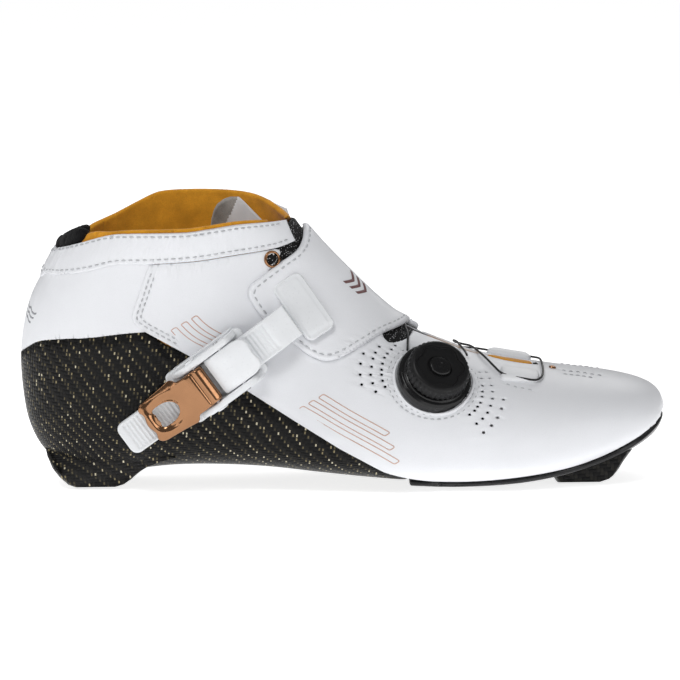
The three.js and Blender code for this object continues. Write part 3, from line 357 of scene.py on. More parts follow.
def carbon_material(name="carbon_weave", glint_share=1.0):
    m, nt, b = material(name); N = Net(nt); uv = N.sep(N.uv()); w = 0.0155
    x = N.math("DIVIDE", uv[0], w); y = N.math("DIVIDE", uv[1], w)
    # the fabric hangs a little crooked in the mould
    wob = N.noise(N.uv(), 9.0, 1.0); x = N.math("ADD", x, N.math("MULTIPLY", wob, .7)); y = N.math("ADD", y, N.math("MULTIPLY", wob, .5))
    i = N.math("FLOOR", x); j = N.math("FLOOR", y); fx = N.math("FRACT", x); fy = N.math("FRACT", y)
    k = N.math("FLOORED_MODULO", N.math("ADD", i, j), 4.0); warp = N.math("LESS_THAN", k, 1.5)
    px = N.math("SINE", N.math("MULTIPLY", fx, math.pi)); py = N.math("SINE", N.math("MULTIPLY", fy, math.pi))
    hw = N.math("MULTIPLY", N.math("POWER", px, .6), N.math("ADD", .72, N.math("MULTIPLY", py, .28)))
    hf = N.math("MULTIPLY", N.math("POWER", py, .6), N.math("ADD", .72, N.math("MULTIPLY", px, .28)))
    mixf = N.node("ShaderNodeMix", data_type="FLOAT"); N.put(mixf.inputs[0], warp); N.put(mixf.inputs[2], hf); N.put(mixf.inputs[3], hw); height = mixf.outputs[0]
    fibw = N.noise(N.comb(N.math("MULTIPLY", x, 26.0), N.math("MULTIPLY", y, 1.2), 0.0), 1.0, 2.0); fibf = N.noise(N.comb(N.math("MULTIPLY", x, 1.2), N.math("MULTIPLY", y, 26.0), 3.0), 1.0, 2.0)
    mf = N.node("ShaderNodeMix", data_type="FLOAT"); N.put(mf.inputs[0], warp); N.put(mf.inputs[2], fibf); N.put(mf.inputs[3], fibw); fib = mf.outputs[0]
    cell = N.white(N.comb(i, j, 1.0)); tone = N.ramp(fib, [(0.25, (.002, .002, .0022)), (.55, (.007, .0068, .0068)), (.85, (.012, .011, .0095))])
    # painted sheen: the warp tows are painted lighter than the weft, varying per tow, standing in for the way the two
    # tow directions reflect light differently
    warp_col_painted_sheen = N.mix(N.math("MULTIPLY", N.math("ADD", .25, N.math("MULTIPLY", cell, .5)), 1.0), tone, (.020, .018, .0145)); weftcol = N.mix(.6, tone, (.003, .003, .0032)); col = N.mix(warp, weftcol, warp_col_painted_sheen)
    # painted glints: bright gold-tinted highlights painted on the tops of the warp tows, standing in for light caught
    # by the clear coat over the tow bumps
    glint_spot = N.math("MULTIPLY", N.math("MULTIPLY", N.math("GREATER_THAN", px, .84), N.math("GREATER_THAN", py, .50)), warp)
    chance = N.math("ADD", .06, N.math("MULTIPLY", N.math("GREATER_THAN", k, .5), .66)); glint = N.math("MULTIPLY", glint_spot, N.math("MULTIPLY", N.math("GREATER_THAN", cell, chance), glint_share))
    glint_col = N.ramp(N.white(N.comb(j, i, 5.0)), [(0.0, (.045, .038, .022)), (.45, (.14, .115, .06)), (.78, (.40, .33, .18)), (1.0, (.85, .78, .58))]); col = N.mix(N.math("MULTIPLY", glint, N.math("ADD", .35, N.math("MULTIPLY", fib, .8))), col, glint_col)
    # painted shade: the low edges of each tow, where the weave dips, are painted near-black
    edge = N.math("LESS_THAN", height, .42); col = N.mix(N.math("MULTIPLY", edge, .8), col, (.0025, .0025, .003))
    N.put(b.inputs["Base Color"], col); N.put(b.inputs["Roughness"], N.maprange(fib, .2, .9, .42, .26)); b.inputs["Specular IOR Level"].default_value = .10
    N.put(b.inputs["Normal"], N.bump(N.math("ADD", height, N.math("MULTIPLY", fib, .12)), .75, .00055))
    b.inputs["Coat Weight"].default_value = .10; b.inputs["Coat Roughness"].default_value = .05
    cn = N.bump(N.noise(N.obj(), 260.0, 3.0), .12, .0004); N.put(b.inputs["Coat Normal"], cn)
    return m
def leather_material(name="white_leather", base=(.80, .81, .84), rough=.40):
    m, nt, b = material(name); N = Net(nt); o = N.obj()
    cl = N.noise(o, 26.0, 4.0, .6); grain = N.voronoi(o, 1500.0, "DISTANCE_TO_EDGE"); fine = N.noise(o, 2600.0, 3.0, .6); broad = N.noise(o, 90.0, 3.0)
    c = N.mix(N.maprange(cl, .3, .7, 0, 1), tuple(v*.965 for v in base), tuple(min(1, v*1.02) for v in base)); c = N.mix(N.maprange(grain, 0.0, .12, .10, 0.0), c, tuple(v*.72 for v in base))
    # painted shade: the sharply convex places, chiefly the rolled panel edges, are painted greyer in patches, an
    # AO-like dark line along the panel borders
    geo = N.node("ShaderNodeNewGeometry"); painted_edge_shade = N.maprange(geo.outputs["Pointiness"], .53, .62, 0.0, .35); c = N.mix(N.math("MULTIPLY", painted_edge_shade, N.noise(o, 420.0, 3.0)), c, tuple(v*.80 for v in base))
    N.put(b.inputs["Base Color"], c); N.put(b.inputs["Roughness"], N.maprange(broad, .3, .7, rough-.05, rough+.07))
    h = N.math("ADD", N.math("MULTIPLY", N.maprange(grain, 0.0, .25, 0, 1), .6), N.math("MULTIPLY", fine, .5)); n1 = N.bump(h, .16, .00012)
    N.put(b.inputs["Normal"], N.bump(broad, .22, .0007, n1)); b.inputs["Specular IOR Level"].default_value = .42
    b.inputs["Coat Weight"].default_value = .10; b.inputs["Coat Roughness"].default_value = .28; b.inputs["Sheen Weight"].default_value = .05
    return m
def cloth_material(name, a, bb, scale, bumpd, rough=.9, sheen=.4, weave=0.0, speck=None):
    m, nt, b = material(name); N = Net(nt); o = N.obj(); n1 = N.noise(o, scale, 4.0, .65); n2 = N.noise(o, scale*.08, 3.0)
    c = N.mix(N.maprange(n1, .32, .68, 0, 1), a, bb); c = N.mix(N.maprange(n2, .35, .7, 0, .55), c, tuple(v*.62 for v in a)); h = n1
    if weave:
        x, y, z = N.sep(o); s = N.math("SINE", N.math("MULTIPLY", N.math("ADD", x, z), 2*math.pi/weave)); t = N.math("SINE", N.math("MULTIPLY", N.math("ADD", N.math("SUBTRACT", x, z), y), 2*math.pi/weave)); wv = N.math("MULTIPLY", s, t); h = N.math("ADD", N.math("MULTIPLY", wv, .7), n1)
        c = N.mix(N.maprange(wv, -.2, 1.0, .6, 0.0), c, tuple(v*.3 for v in a))
    if speck:
        v = N.voronoi(o, speck[0], "F1"); dark = N.math("LESS_THAN", v, speck[1]); cellc = N.voronoi(o, speck[0], "F1", "Color"); c = N.mix(N.math("MULTIPLY", dark, N.math("GREATER_THAN", N.sep(cellc)[0], .35)), c, speck[2]); h = N.math("SUBTRACT", h, N.math("MULTIPLY", dark, .9))
    N.put(b.inputs["Base Color"], c); b.inputs["Roughness"].default_value = rough; N.put(b.inputs["Normal"], N.bump(h, .8, bumpd))
    b.inputs["Sheen Weight"].default_value = sheen; b.inputs["Sheen Roughness"].default_value = .45; b.inputs["Specular IOR Level"].default_value = .2
    return m
def plastic_material(name, base, rough=.33, scr=.25, coat=0.0):
    m, nt, b = material(name); N = Net(nt); o = N.obj(); n = N.noise(o, 900.0, 3.0); big = N.noise(o, 60.0, 3.0)
    # painted highlight: convex edges (high pointiness) are painted lighter
    geo = N.node("ShaderNodeNewGeometry"); p = N.maprange(geo.outputs["Pointiness"], .54, .64, 0.0, .35); c = N.mix(N.maprange(big, .3, .7, 0, 1), tuple(v*.94 for v in base), tuple(min(1, v*1.03) for v in base)); c = N.mix(p, c, tuple(min(1, v*1.15+.02) for v in base))
    N.put(b.inputs["Base Color"], c); N.put(b.inputs["Roughness"], N.maprange(n, .3, .7, rough-.05, rough+.09)); b.inputs["Specular IOR Level"].default_value = .5 if base[0] > .3 else .22; N.put(b.inputs["Normal"], N.bump(n, scr, .00006)); b.inputs["Coat Weight"].default_value = coat; b.inputs["Coat Roughness"].default_value = .1
    return m
def metal_material(name, base, rough=.18, brushed=0.0):
    m, nt, b = material(name); N = Net(nt); o = N.obj(); x, y, z = N.sep(o)
    st = N.noise(N.comb(N.math("MULTIPLY", x, 30.0), N.math("MULTIPLY", y, 30.0), N.math("MULTIPLY", z, 900.0)), 1.0, 3.0) if brushed else N.noise(o, 1400.0, 3.0)
    # painted highlight: convex edges (high pointiness) are painted brighter
    big = N.noise(o, 130.0, 3.0); geo = N.node("ShaderNodeNewGeometry"); p = N.maprange(geo.outputs["Pointiness"], .52, .62, 0.0, .6); c = N.mix(N.maprange(big, .3, .7, 0, 1), tuple(v*.9 for v in base), base); c = N.mix(p, c, tuple(min(1, v*1.35+.05) for v in base))
    N.put(b.inputs["Base Color"], c); b.inputs["Metallic"].default_value = 1.0; N.put(b.inputs["Roughness"], N.maprange(st, .3, .7, rough*.7, rough*1.5)); N.put(b.inputs["Normal"], N.bump(st, .12+brushed*.2, .00004))
    return m
def flat_print(name, base, rough=.35, metal=.5):
    m, nt, b = material(name); N = Net(nt); n = N.noise(N.obj(), 1500.0, 3.0); N.put(b.inputs["Base Color"], N.mix(N.maprange(n, .3, .7, 0, 1), tuple(v*.82 for v in base), base)); b.inputs["Metallic"].default_value = metal; N.put(b.inputs["Roughness"], N.maprange(n, .3, .7, rough-.05, rough+.1)); N.put(b.inputs["Normal"], N.bump(n, .2, .00003)); return m

# carbon_weave_plain is the same weave without the painted glints
M_CARBON = carbon_material(); M_CARBON_PLAIN = carbon_material("carbon_weave_plain", .0)
M_LEATHER = leather_material(); M_STRAP = leather_material("strap_leather", (.82, .83, .86), .36); M_FLAP = leather_material("flap_leather", (.83, .84, .86), .42)
# painted shade: the white thread is painted mid-grey, standing in for the shadow in the stitch holes
M_THREAD = cloth_material("white_thread_painted_grey_shade", (.50, .51, .53), (.62, .63, .65), 3000.0, .00006, .6, .2)
M_SUEDE = cloth_material("tan_suede", (.74, .315, .020), (.90, .42, .034), 1900.0, .00022, .95, .35)
M_NEOPRENE = cloth_material("black_neoprene", (.006, .006, .0065), (.012, .012, .013), 2200.0, .00012, .9, .06, weave=.0011)
M_MESH = cloth_material("spacer_mesh", (.007, .007, .0075), (.020, .020, .021), 2500.0, .0003, .85, .05, weave=.0021, speck=(1250.0, .30, (.42, .42, .43)))
M_PILE = cloth_material("loop_pile", (.34, .32, .30), (.52, .50, .47), 2600.0, .0004, .95, .3)
M_FOAM = cloth_material("footbed_foam", (.030, .030, .034), (.05, .05, .055), 1500.0, .0002, .95, .3, speck=(190.0, .14, (.004, .004, .004)))
# this near-black cloth also serves as the slit's painted shadow
M_DARK = cloth_material("dark_backing_and_slit_shadow", (.004, .004, .0045), (.008, .008, .009), 1500.0, .0002, .95, .0)
M_WPLASTIC = plastic_material("white_nylon", (.80, .815, .835), .30, .2); M_BPLASTIC = plastic_material("black_nylon", (.0085, .0085, .009), .38, .35); M_BGLOSS = plastic_material("black_gloss", (.006, .006, .0065), .20, .15, .25)
M_GOLD = metal_material("rose_gold", (.36, .185, .095), .13); M_STEEL = metal_material("satin_steel", (.50, .50, .52), .26, .6)
M_LACE = plastic_material("lace_wire", (.012, .012, .013), .32, .5, .2)
M_PRINT = flat_print("rose_gold_ink", (.62, .40, .32), .36, .35); M_MAROON = flat_print("maroon_ink", (.20, .095, .095), .45, .2); M_GREY = flat_print("grey_ink", (.30, .31, .33), .5, .1)
M_RIM = plastic_material("sole_rim", (.014, .014, .015), .30, .3, .3)
def dress(ob, mat, body="root", replaces=(), ride=True):
    ob.data.materials.clear() if hasattr(ob.data, "materials") else None
    ob.data.materials.append(mat)
    if replaces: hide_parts(*replaces)
    if ride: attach(ob, body)
    return ob

# ------------------------------------------------------------------ outlines (mm, same as the CAD)
SHELL_EDGE = [[-132.9,55.7],[-124.6,61.2],[-113.9,63],[-103.4,63.8],[-89.4,65.6],[-79.4,66.4]]
SHELL_DIAG = [[-79.4,66.4],[-61.9,56.5],[-37.8,41.7],[-19,29.6],[-0.7,18.2],[8.1,13.4],[17,8.3]]
SOLE_EDGE = [[39.1,3.1],[52.6,3.1],[70.1,4.5],[83.6,6.0],[96.5,8.2],[102.5,10.0],[108.7,12.2],[115.9,15.2],[121.1,17.8],[126.3,20.9],[129.9,23.6],[131.7,25.6]]
COUNTER_EDGE = [[-77.2,94.2],[-79.6,88.2],[-81.7,82],[-83.4,77.5],[-84.8,72.6],[-83.4,69.4],[-79.4,66.4]]
BAND_LOW = [[-126,88.2],[-115.1,89],[-103,91.2],[-91.3,94.1],[-76.2,94.4],[-58.7,95.2],[-42.5,97.1],[-26.2,98.8],[-17.8,101]]
BAND_TOP = [[-118,98.3],[-104.9,102.7],[-94.1,106],[-85,106.8],[-63,106.9],[-52.4,108],[-40.9,109.3],[-30.2,109.6],[-21.5,109.7]]
BAND_TOP_MED = [[-118,98.3],[-104.9,101.9],[-94.1,105],[-85.8,108.5],[-78.2,112],[-72.8,113.8],[-60.2,114.5],[-37.4,114.6],[-28,113.4],[-21.5,111.6]]
def heel_at(z):
    i = np.argmin(np.abs(FP[:, 0, 2]-z)+(GU[:, 0] < 18)*999); return np.array([[GU[i, 0], 0.0]])
def mirror(us): m = np.array(us).copy(); m[:, 1] = 2-m[:, 1]; return m
THROAT = [[-48,12.4,0],[-14,12.4,0],[0,10.5,-.3],[12,8.6,-.7],[24,6.4,-1.2],[36,4.2,-1.6],[48,2.6,-2.8],[60,1.7,-4.6],[72,1.5,-4.8],[82,1.4,-4.9]]
def throat_side(x0, x1, sgn, grow=0.0):
    X = np.arange(x0, x1+.01, 3.0 if x1 > x0 else -3.0); T = np.array(THROAT)
    return top([[x, np.interp(x, T[:, 0], T[:, 2])+sgn*(np.interp(x, T[:, 0], T[:, 1])+grow)] for x in X], 2.0, False)

# ------------------------------------------------------------------ shell, sole, blocks
def arc(a, b, n=24): a, b = np.array(a, float), np.array(b, float); return a+(b-a)*np.linspace(0, 1, n)[:, None]
def side_of(us, loop):
    """+1 or -1: the side of a polyline that lies inside the loop."""
    p = disc(offset_us(us, 1.5, 1)); return 1 if inside(disc(loop), p).mean() > .5 else -1
def inset(us, d, loop): return offset_us(us, d, side_of(us, loop))
def offset_rows(us, d, side):
    """Stitch row d mm inside an edge, measured along the surface; side as in offset_us."""
    q = dense_dom(disc(us), form_map, .9); P = form_map(q, np.zeros(len(q))); u, s = undisc(q); nrm = fetch(FN, u, s); nrm /= np.linalg.norm(nrm, axis=1)[:, None]
    T = np.gradient(P, axis=0); k = np.ones(5)/5; T = np.stack([np.convolve(np.pad(T[:, c], 2, "edge"), k, "valid") for c in range(3)], 1); T /= np.linalg.norm(T, axis=1)[:, None]+1e-9
    S = np.cross(nrm, T); S /= np.linalg.norm(S, axis=1)[:, None]+1e-9; ref = disc(offset_us(us, d, side)); rp = form_map(ref, np.zeros(len(ref)))
    sign = 1 if nearest(P+S*d, rp).mean() < nearest(P-S*d, rp).mean() else -1
    C = P+S*d*sign; keep = nearest(C, P) > .94*d; C = C[keep]; out = [C[0]]
    for c in C[1:]:
        if np.linalg.norm(c-out[-1]) > .9: out.append(c)
    return np.array([on3(c) for c in out])
def weave_uv(P):
    """Lengths in mm along the shell: round the heel, and down the wall and in under the foot."""
    x, y, z = P[:, 0], P[:, 1], P[:, 2]; xc, R = -97.0, 33.0; back = x < xc
    rad = np.where(back, np.hypot(xc-x, y), np.abs(y)); th = np.arctan2(np.maximum(xc-x, 0), np.abs(y)+1e-6)
    A = np.where(back, -R*th, x-xc); A = np.where(y > 0, -math.pi*R-A, A); W = np.interp(x, [-97, -30, 30, 60, 135], [33.5, 36.5, 42, 44.5, 30])
    under = np.where(z < 34, np.clip(W-rad, 0, 60), 0)*np.clip((34-z)/14, 0, 1); B = z-.95*under
    c, s = math.cos(math.radians(6)), math.sin(math.radians(6)); return np.c_[A*c-B*s, A*s+B*c]
L_SHELL, M_SHELL = lat(SHELL_EDGE), med(SHELL_EDGE)
L_DIAG, M_DIAG = lat(SHELL_DIAG, 1.6, False), med(SHELL_DIAG, 1.6, False)
L_SOLE, M_SOLE = lat(SOLE_EDGE), med(SOLE_EDGE)
L_COUNT, M_COUNT = lat(COUNTER_EDGE), med(COUNTER_EDGE)
L_FOOT = arc(L_DIAG[-1], L_SOLE[0], 14); M_FOOT = arc(M_DIAG[-1], M_SOLE[0], 14)
up2 = lambda pts, dx, dz: [[x+dx, z+dz] for x, z in pts]
shell_loop = loop_of(arc([11.0, .235], L_DIAG[-1], 8), rev(lat(up2(SHELL_DIAG, 1.2, 2.0)[1:], 1.6, False)), rev(lat(up2(SHELL_EDGE, 0, 2.4))), med(up2(SHELL_EDGE, 0, 2.4))[1:], med(up2(SHELL_DIAG, 1.2, 2.0)[1:], 1.6, False), arc(M_DIAG[-1], [11.0, 2-.235], 8), arc([11.0, -.235], [11.0, .235], 60)[1:-1])
def sink_rim(q, d): return -.75*(1-np.clip((d-1.0)/1.8, 0, 1))
shell = panel("carbon_shell_v", shell_loop, -.4, -2.1, roll=1.0, uv=weave_uv, shape=sink_rim); dress(shell, M_CARBON, replaces=["carbon_shell"])
low = lambda pts: [[x, z-.5] for x, z in pts]
sole_loop = loop_of(arc([11.02, .24], L_SOLE[0], 8), lat(low(SOLE_EDGE))[1:], rev(med(low(SOLE_EDGE))[1:]), arc(M_SOLE[0], [11.02, 2-.24], 8), arc([11.02, -.24], [11.02, .24], 60)[1:-1])
sole = panel("forefoot_sole_v", sole_loop, 1.95, -.4, roll=.9, edge=.35, uv=weave_uv); dress(sole, M_RIM, replaces=["forefoot_sole"])
def wall_y(x, z, side):
    m = (FP[..., 1] < 0) if side < 0 else (FP[..., 1] > 0); d = np.where(m, (FP[..., 0]-x)**2+(FP[..., 2]-z)**2, 1e9); return abs(FP[..., 1].ravel()[d.argmin()])
def prism_object(name, pts, half, flare, mat, nodes, bolt_x):
    """A mount block: side outline lofted across the boot. Its flanks flare out to meet the sole above."""
    T = np.sin(np.linspace(-1, 1, 33)*math.pi/2)**1; bm = bmesh.new(); rows = []; P = dense(pts, .8, False); zt = 14.5
    W = {s: [wall_y(x, max(z, zt), s)-.2-1.0*np.clip((z-12.6)/3.0, 0, 1) for x, z in P] for s in (-1, 1)}; cx = (P[:, 0].min()+P[:, 0].max())/2
    for t in T:
        s = -1 if t < 0 else 1; row = []
        for (x, z), w in zip(P, W[s]):
            k = np.clip((z-2.5)/(zt-2.5), 0, 1); k = k*k*(3-2*k) if flare else 0; kk = 1-.13*abs(t)**7*(1-k)
            row.append(bm.verts.new(tuple(to_m([cx+(x-cx)*kk, t*(half+(max(w, half*.4)-half)*k), z+.35*max(0, abs(t)-.9)/.1*(z < 1)]))))
        rows.append(row)
    n = len(P)
    for a, b in zip(rows[:-1], rows[1:]):
        for i in range(n): bm.faces.new((a[i], a[(i+1) % n], b[(i+1) % n], b[i]))
    bm.faces.new(rows[0][::-1]); bm.faces.new(rows[-1]); bmesh.ops.recalc_face_normals(bm, faces=bm.faces)
    me = bpy.data.meshes.new(name); bm.to_mesh(me); bm.free(); ob = bpy.data.objects.new(name, me); bpy.context.scene.collection.objects.link(ob)
    tool = cylinder_object("tool", np.array([bolt_x, 0, -8]), np.array([bolt_x, 0, 3.3]), 5.0, 40)
    boolean(ob, tool, "DIFFERENCE"); bevel(ob, .8, 3, 40); me = ob.data
    co = np.array([v.co for v in me.vertices])*1000-SHIFT; lay = me.uv_layers.new(name="UVMap"); li = np.empty(len(me.loops), np.int32); me.loops.foreach_get("vertex_index", li)
    y = np.abs(co[:, 1]); W_ = np.c_[co[:, 0]*.995+co[:, 2]*.1, co[:, 2]*.995-co[:, 0]*.1+np.where(y < half-1, half-1-y, 0)]; lay.data.foreach_set("uv", (W_[li]/100).astype(np.float32).ravel())
    return dress(ob, mat, replaces=nodes)
def cylinder_object(name, a, b, r, seg=32, r2=None):
    a, b = np.array(a, float), np.array(b, float); d = b-a; L = np.linalg.norm(d); bm = bmesh.new()
    bmesh.ops.create_cone(bm, cap_ends=True, segments=seg, radius1=r, radius2=r if r2 is None else r2, depth=L)
    q = Vector((0, 0, 1)).rotation_difference(Vector(d/L)); bm.transform(Matrix.Translation(Vector((a+b)/2)) @ q.to_matrix().to_4x4())
    me = bpy.data.meshes.new(name); bm.to_mesh(me); bm.free(); me.transform(Matrix.Scale(.001, 4) @ Matrix.Translation(Vector(SHIFT)))
    ob = bpy.data.objects.new(name, me); bpy.context.scene.collection.objects.link(ob); return ob
def apply_all(ob):
    bpy.context.view_layer.update(); dg = bpy.context.evaluated_depsgraph_get(); me = bpy.data.meshes.new_from_object(ob.evaluated_get(dg)); ob.modifiers.clear(); ob.data = me; return ob
def boolean(ob, tool, op, keep=False):
    m = ob.modifiers.new("b", "BOOLEAN"); m.operation = op; m.object = tool; m.solver = "EXACT"; apply_all(ob)
    if not keep: bpy.data.objects.remove(tool)
    return ob
def bevel(ob, width_mm, seg=3, angle=35, sharp=True):
    m = ob.modifiers.new("v", "BEVEL"); m.width = width_mm/1000; m.segments = seg; m.limit_method = "ANGLE"; m.angle_limit = math.radians(angle); m.harden_normals = False; apply_all(ob)
    ob.data.shade_smooth()
    try: ob.data.set_sharp_from_angle(angle=math.radians(48))
    except Exception: pass
    return ob
rear_pts = [[-119.0,18.5],[-122.7,15.2],[-122.0,11.6],[-120.0,7.2],[-117.0,3.4],[-113.8,.6],[-111,-.4],[-93.5,-.4],[-90,.5],[-86.4,2.8],[-82.2,6.6],[-78.6,9.4],[-73.5,12.0],[-68,13.6],[-80,16],[-100,17.5]]
rear = prism_object("rear_mount_block_v", rear_pts, 17.4, True, M_CARBON, ["rear_mount_block"], -101.5)
front_pts = [[84.5,6.2],[86.6,2.6],[88.6,-.4],[107,-.4],[110.7,.7],[112.8,2.2],[114.9,4.8],[117,8.1],[120.3,12.4],[119.5,15.0],[103,9.5],[95,8.0]]
front = prism_object("front_mount_block_v", front_pts, 20, False, M_CARBON_PLAIN, ["front_mount_block"], 93.5)

# ------------------------------------------------------------------ white upper
SEAM_MED = [[58,3.6],[50,20],[38,40],[34,60]]
m_seam = med(SEAM_MED)
thr_l = throat_side(-18, 82, -1); thr_m = throat_side(-18, 82, 1)
thr_m_fwd = throat_side(34, 82, 1); thr_m_back = throat_side(-18, 34, 1)
L_BLOW, M_BLOW = lat(BAND_LOW), med(BAND_LOW); L_BTOP, M_BTOP = lat(BAND_TOP), med(BAND_TOP_MED)
bl_front = lat([[-77.2,94.2],[-58.7,95.0],[-42.5,96.9],[-26.0,98.5]]); bm_front = med([[-77.2,94.2],[-58.7,95.0],[-42.5,96.9],[-26.2,98.6],[-18.4,100.8]])
# the mesh patch that shows before the strap
PATCH = np.array([(13.15,.845),(13.0,.828),(12.82,.820),(12.64,.828),(12.46,.846),(12.3,.868),(12.18,.895),(12.11,.925),(12.08,.955)])
u_cut = lat([[-20.5, 84], [-20.4, 84]])[0][0]
SLIT = np.array([(9.40,.970),(9.12,.952),(8.72,.941),(8.3,.936),(7.92,.938),(7.70,.952)])
def with_notch(t):
    """The lateral throat edge with the scooped opening ahead of the strap."""
    keep_a = t[(t[:, 0] > 13.25) & (t[:, 0] < u_cut)]; keep_b = t[(t[:, 0] < 12.0) & (t[:, 0] > 9.5)]; return np.concatenate([lat([[-24.4,98.2],[-23.8,96.8],[-24.6,94.6],[-26.6,92.0],[-29.5,88.0],[-27,84.5],[-22.5,83.5]], 1.2), keep_a, [(13.3,.90)], PATCH, keep_b, SLIT])
thr_l_n = with_notch(thr_l)
vamp_loop = loop_of(L_COUNT, L_DIAG[1:], L_FOOT[1:-1], L_SOLE, rev(M_SOLE)[:np.argmin(np.abs(rev(M_SOLE)[:, 0]-m_seam[0, 0]))], m_seam, thr_m_fwd, [(7.78,.985)], rev(thr_l_n), rev(bl_front))
PERF = [(13.452,.7346),(13.39,.6958),(13.247,.6578),(13.073,.6257),(13.049,.7866),(13.093,.7573),(13.087,.7315),(13.024,.7006),(12.949,.6708),(12.791,.6431),(12.615,.6163),(12.537,.8185),(12.621,.7943),(12.701,.7716),(12.746,.7514),(12.735,.7257),(12.693,.702),(12.636,.6835),(12.542,.6626),(12.411,.6433),
 (9.545,.7961),(9.477,.7619),(9.436,.7249),(9.425,.6955),(9.43,.6725),(9.46,.6461),(9.536,.6288),(9.61,.612),(9.74,.5951),(9.335,.8032),(9.24,.768),(9.172,.7299),(9.134,.6999),(9.124,.6672),(9.169,.6365),(9.24,.6076),(9.367,.5836),(9.52,.5638),(8.796,.6655),(8.842,.6262),(8.944,.5899),(9.099,.5593),(9.304,.5329)]
def on3(P):
    P = np.asarray(P, float); d = ((FP-P)**2).sum(2); i, j = np.unravel_index(np.argmin(d), d.shape); i = min(max(i, 1), NU-2); j = min(max(j, 1), 2*MS-1)
    a = (FP[i+1, j]-FP[i-1, j])/2; b = (FP[i, j+1]-FP[i, j-1])/2; r = P-FP[i, j]; M = np.array([[a@a, a@b], [a@b, b@b]]); x = np.clip(np.linalg.solve(M, [a@r, b@r]), -1, 1)
    return GU[i, j]+x[0]*UMAX/(NU-1), GS[i, j]+x[1]/MS
def circle_us(u, s, r, n=24, full=True, a0=0, a1=360):
    c = on_form(np.array([u]), np.array([s]), np.zeros(1))[0]; nrm = fetch(FN, np.array([u]), np.array([s]))[0]; nrm /= np.linalg.norm(nrm)
    e1 = np.cross(nrm, [0, 1, 0.3]); e1 /= np.linalg.norm(e1); e2 = np.cross(nrm, e1)
    A = np.radians(np.linspace(a0, a1, n, endpoint=not full)); return np.array([on3(c+e1*(r*math.cos(a))+e2*(r*math.sin(a))) for a in A])
DU, DS = 11.01, .712
holes = [circle_us(u, s, .58, 10) for u, s in PERF]
ringA, ringB = circle_us(DU, DS, 17.2, 60, False, 0, 360), circle_us(DU, DS, 18.9, 64, False, 0, 360)
count_a, count_b = offset_us(L_COUNT, 2.2, 1), offset_us(L_COUNT, 3.7, 1)
s_c = side_of(L_COUNT, vamp_loop); seam_lat = loop_of(L_COUNT, L_DIAG[1:])
seam_a, seam_b = [r[form_map(disc(r), np.zeros(len(r)))[:, 0] < -66] for r in (offset_rows(seam_lat, 2.0, s_c)[2:], offset_rows(seam_lat, 3.6, s_c)[3:])]
toe_a = np.array([(7.02,.915),(6.853,.9066),(6.459,.9084),(5.996,.8944),(5.45,.882)]); toe_b = np.array([(6.98,.866),(6.837,.8602),(6.444,.8589),(5.9,.843)])
toe_c = toe_a.copy(); toe_c[:, 1] = 2-toe_a[:, 1]-.02; toe_d = toe_b.copy(); toe_d[:, 1] = 2-toe_b[:, 1]-.04
flap_st = np.array([(8.78,.7478),(8.378,.7295),(7.889,.7162)])
def seat(q, d):
    u, s = undisc(q); P = on_form(u, s, np.zeros(len(u))); c = on_form(np.array([DU]), np.array([DS]), np.zeros(1))[0]; r = np.linalg.norm(P-c, axis=1)
    crease = 0
    for (cx, cz, amp, w) in ((20, 40, .35, 5), (28, 34, .28, 4.5), (62, 30, .22, 6)): crease = crease+amp*np.exp(-(((P[:, 0]-cx)+(P[:, 2]-cz)*.6)/w)**2)*np.exp(-((P[:, 2]-cz)/15)**2)*(P[:, 1] < 0)
    puff = .35*np.exp(-((P[:, 0]+60)/30)**2)*np.exp(-((P[:, 2]-80)/12)**2)
    tx = np.clip((P[:, 0]-112)/20, 0, 1); full = 1.9*tx*tx*(3-2*tx)*np.exp(-((P[:, 2]-24)/14)**2)
    hem = .36*np.clip(d/.9, 0, 1)*np.exp(-np.maximum(d-1.0, 0)/2.6)*(P[:, 2] > 22)
    return .55*np.exp(-((r-15.9)/.8)**2)-.12*crease+puff*0.6+full*np.clip(d/1.5, .25, 1)+hem
vamp = panel("vamp_v", vamp_loop, 0.0, -.62, roll=.7, holes=holes, shape=seat, grooves=[seam_a, seam_b, ringA[:-1], ringB[:-1], toe_a, toe_b, flap_st])
dress(vamp, M_LEATHER, replaces=["vamp"])
under_loop = loop_of(arc([13.9,.60], [13.9,.86], 8), arc([12.0,.88], [8.9,.84], 12), arc([8.6,.70], [9.6,.5], 8), arc([11.5,.5], [13.2,.58], 8))
under = panel("vamp_backing", under_loop, -.95, -1.3, roll=.3, offset=False); dress(under, M_DARK)
mesh_loop = loop_of(np.array([(13.35,.80),(13.0,.785),(12.6,.79),(12.25,.83),(11.98,.88),(11.9,.95),(11.95,.99),(12.6,.99),(13.4,.985),(13.42,.90)]))
throat_mesh = panel("throat_mesh", mesh_loop, -.64, -.93, roll=.1, offset=False); dress(throat_mesh, M_MESH)
qm_loop = loop_of(M_COUNT, M_DIAG[1:], M_FOOT[1:], M_SOLE[:np.argmin(np.abs(M_SOLE[:, 0]-m_seam[0, 0]))], m_seam[1:], rev(thr_m_back), rev(bm_front))
ms_c = side_of(M_COUNT, qm_loop); seam_med = loop_of(M_COUNT, M_DIAG[1:]); mseam_a, mseam_b = offset_rows(seam_med, 2.0, ms_c)[2:-3], offset_rows(seam_med, 3.6, ms_c)[3:-4]
quarter = panel("quarter_medial_v", qm_loop, -.08, -.62, roll=.7, grooves=[mseam_a, mseam_b]); dress(quarter, M_LEATHER, replaces=["quarter_medial"])
ext = lambda us, d: us
hc_lat = [[-77.2+2.2,96.2],[-79.6+2.2,88.2],[-81.7+2.2,82],[-83.4+2.2,77.5],[-84.8+2.2,72.4],[-83.4+2.4,69.7],[-79.0,67.2]]
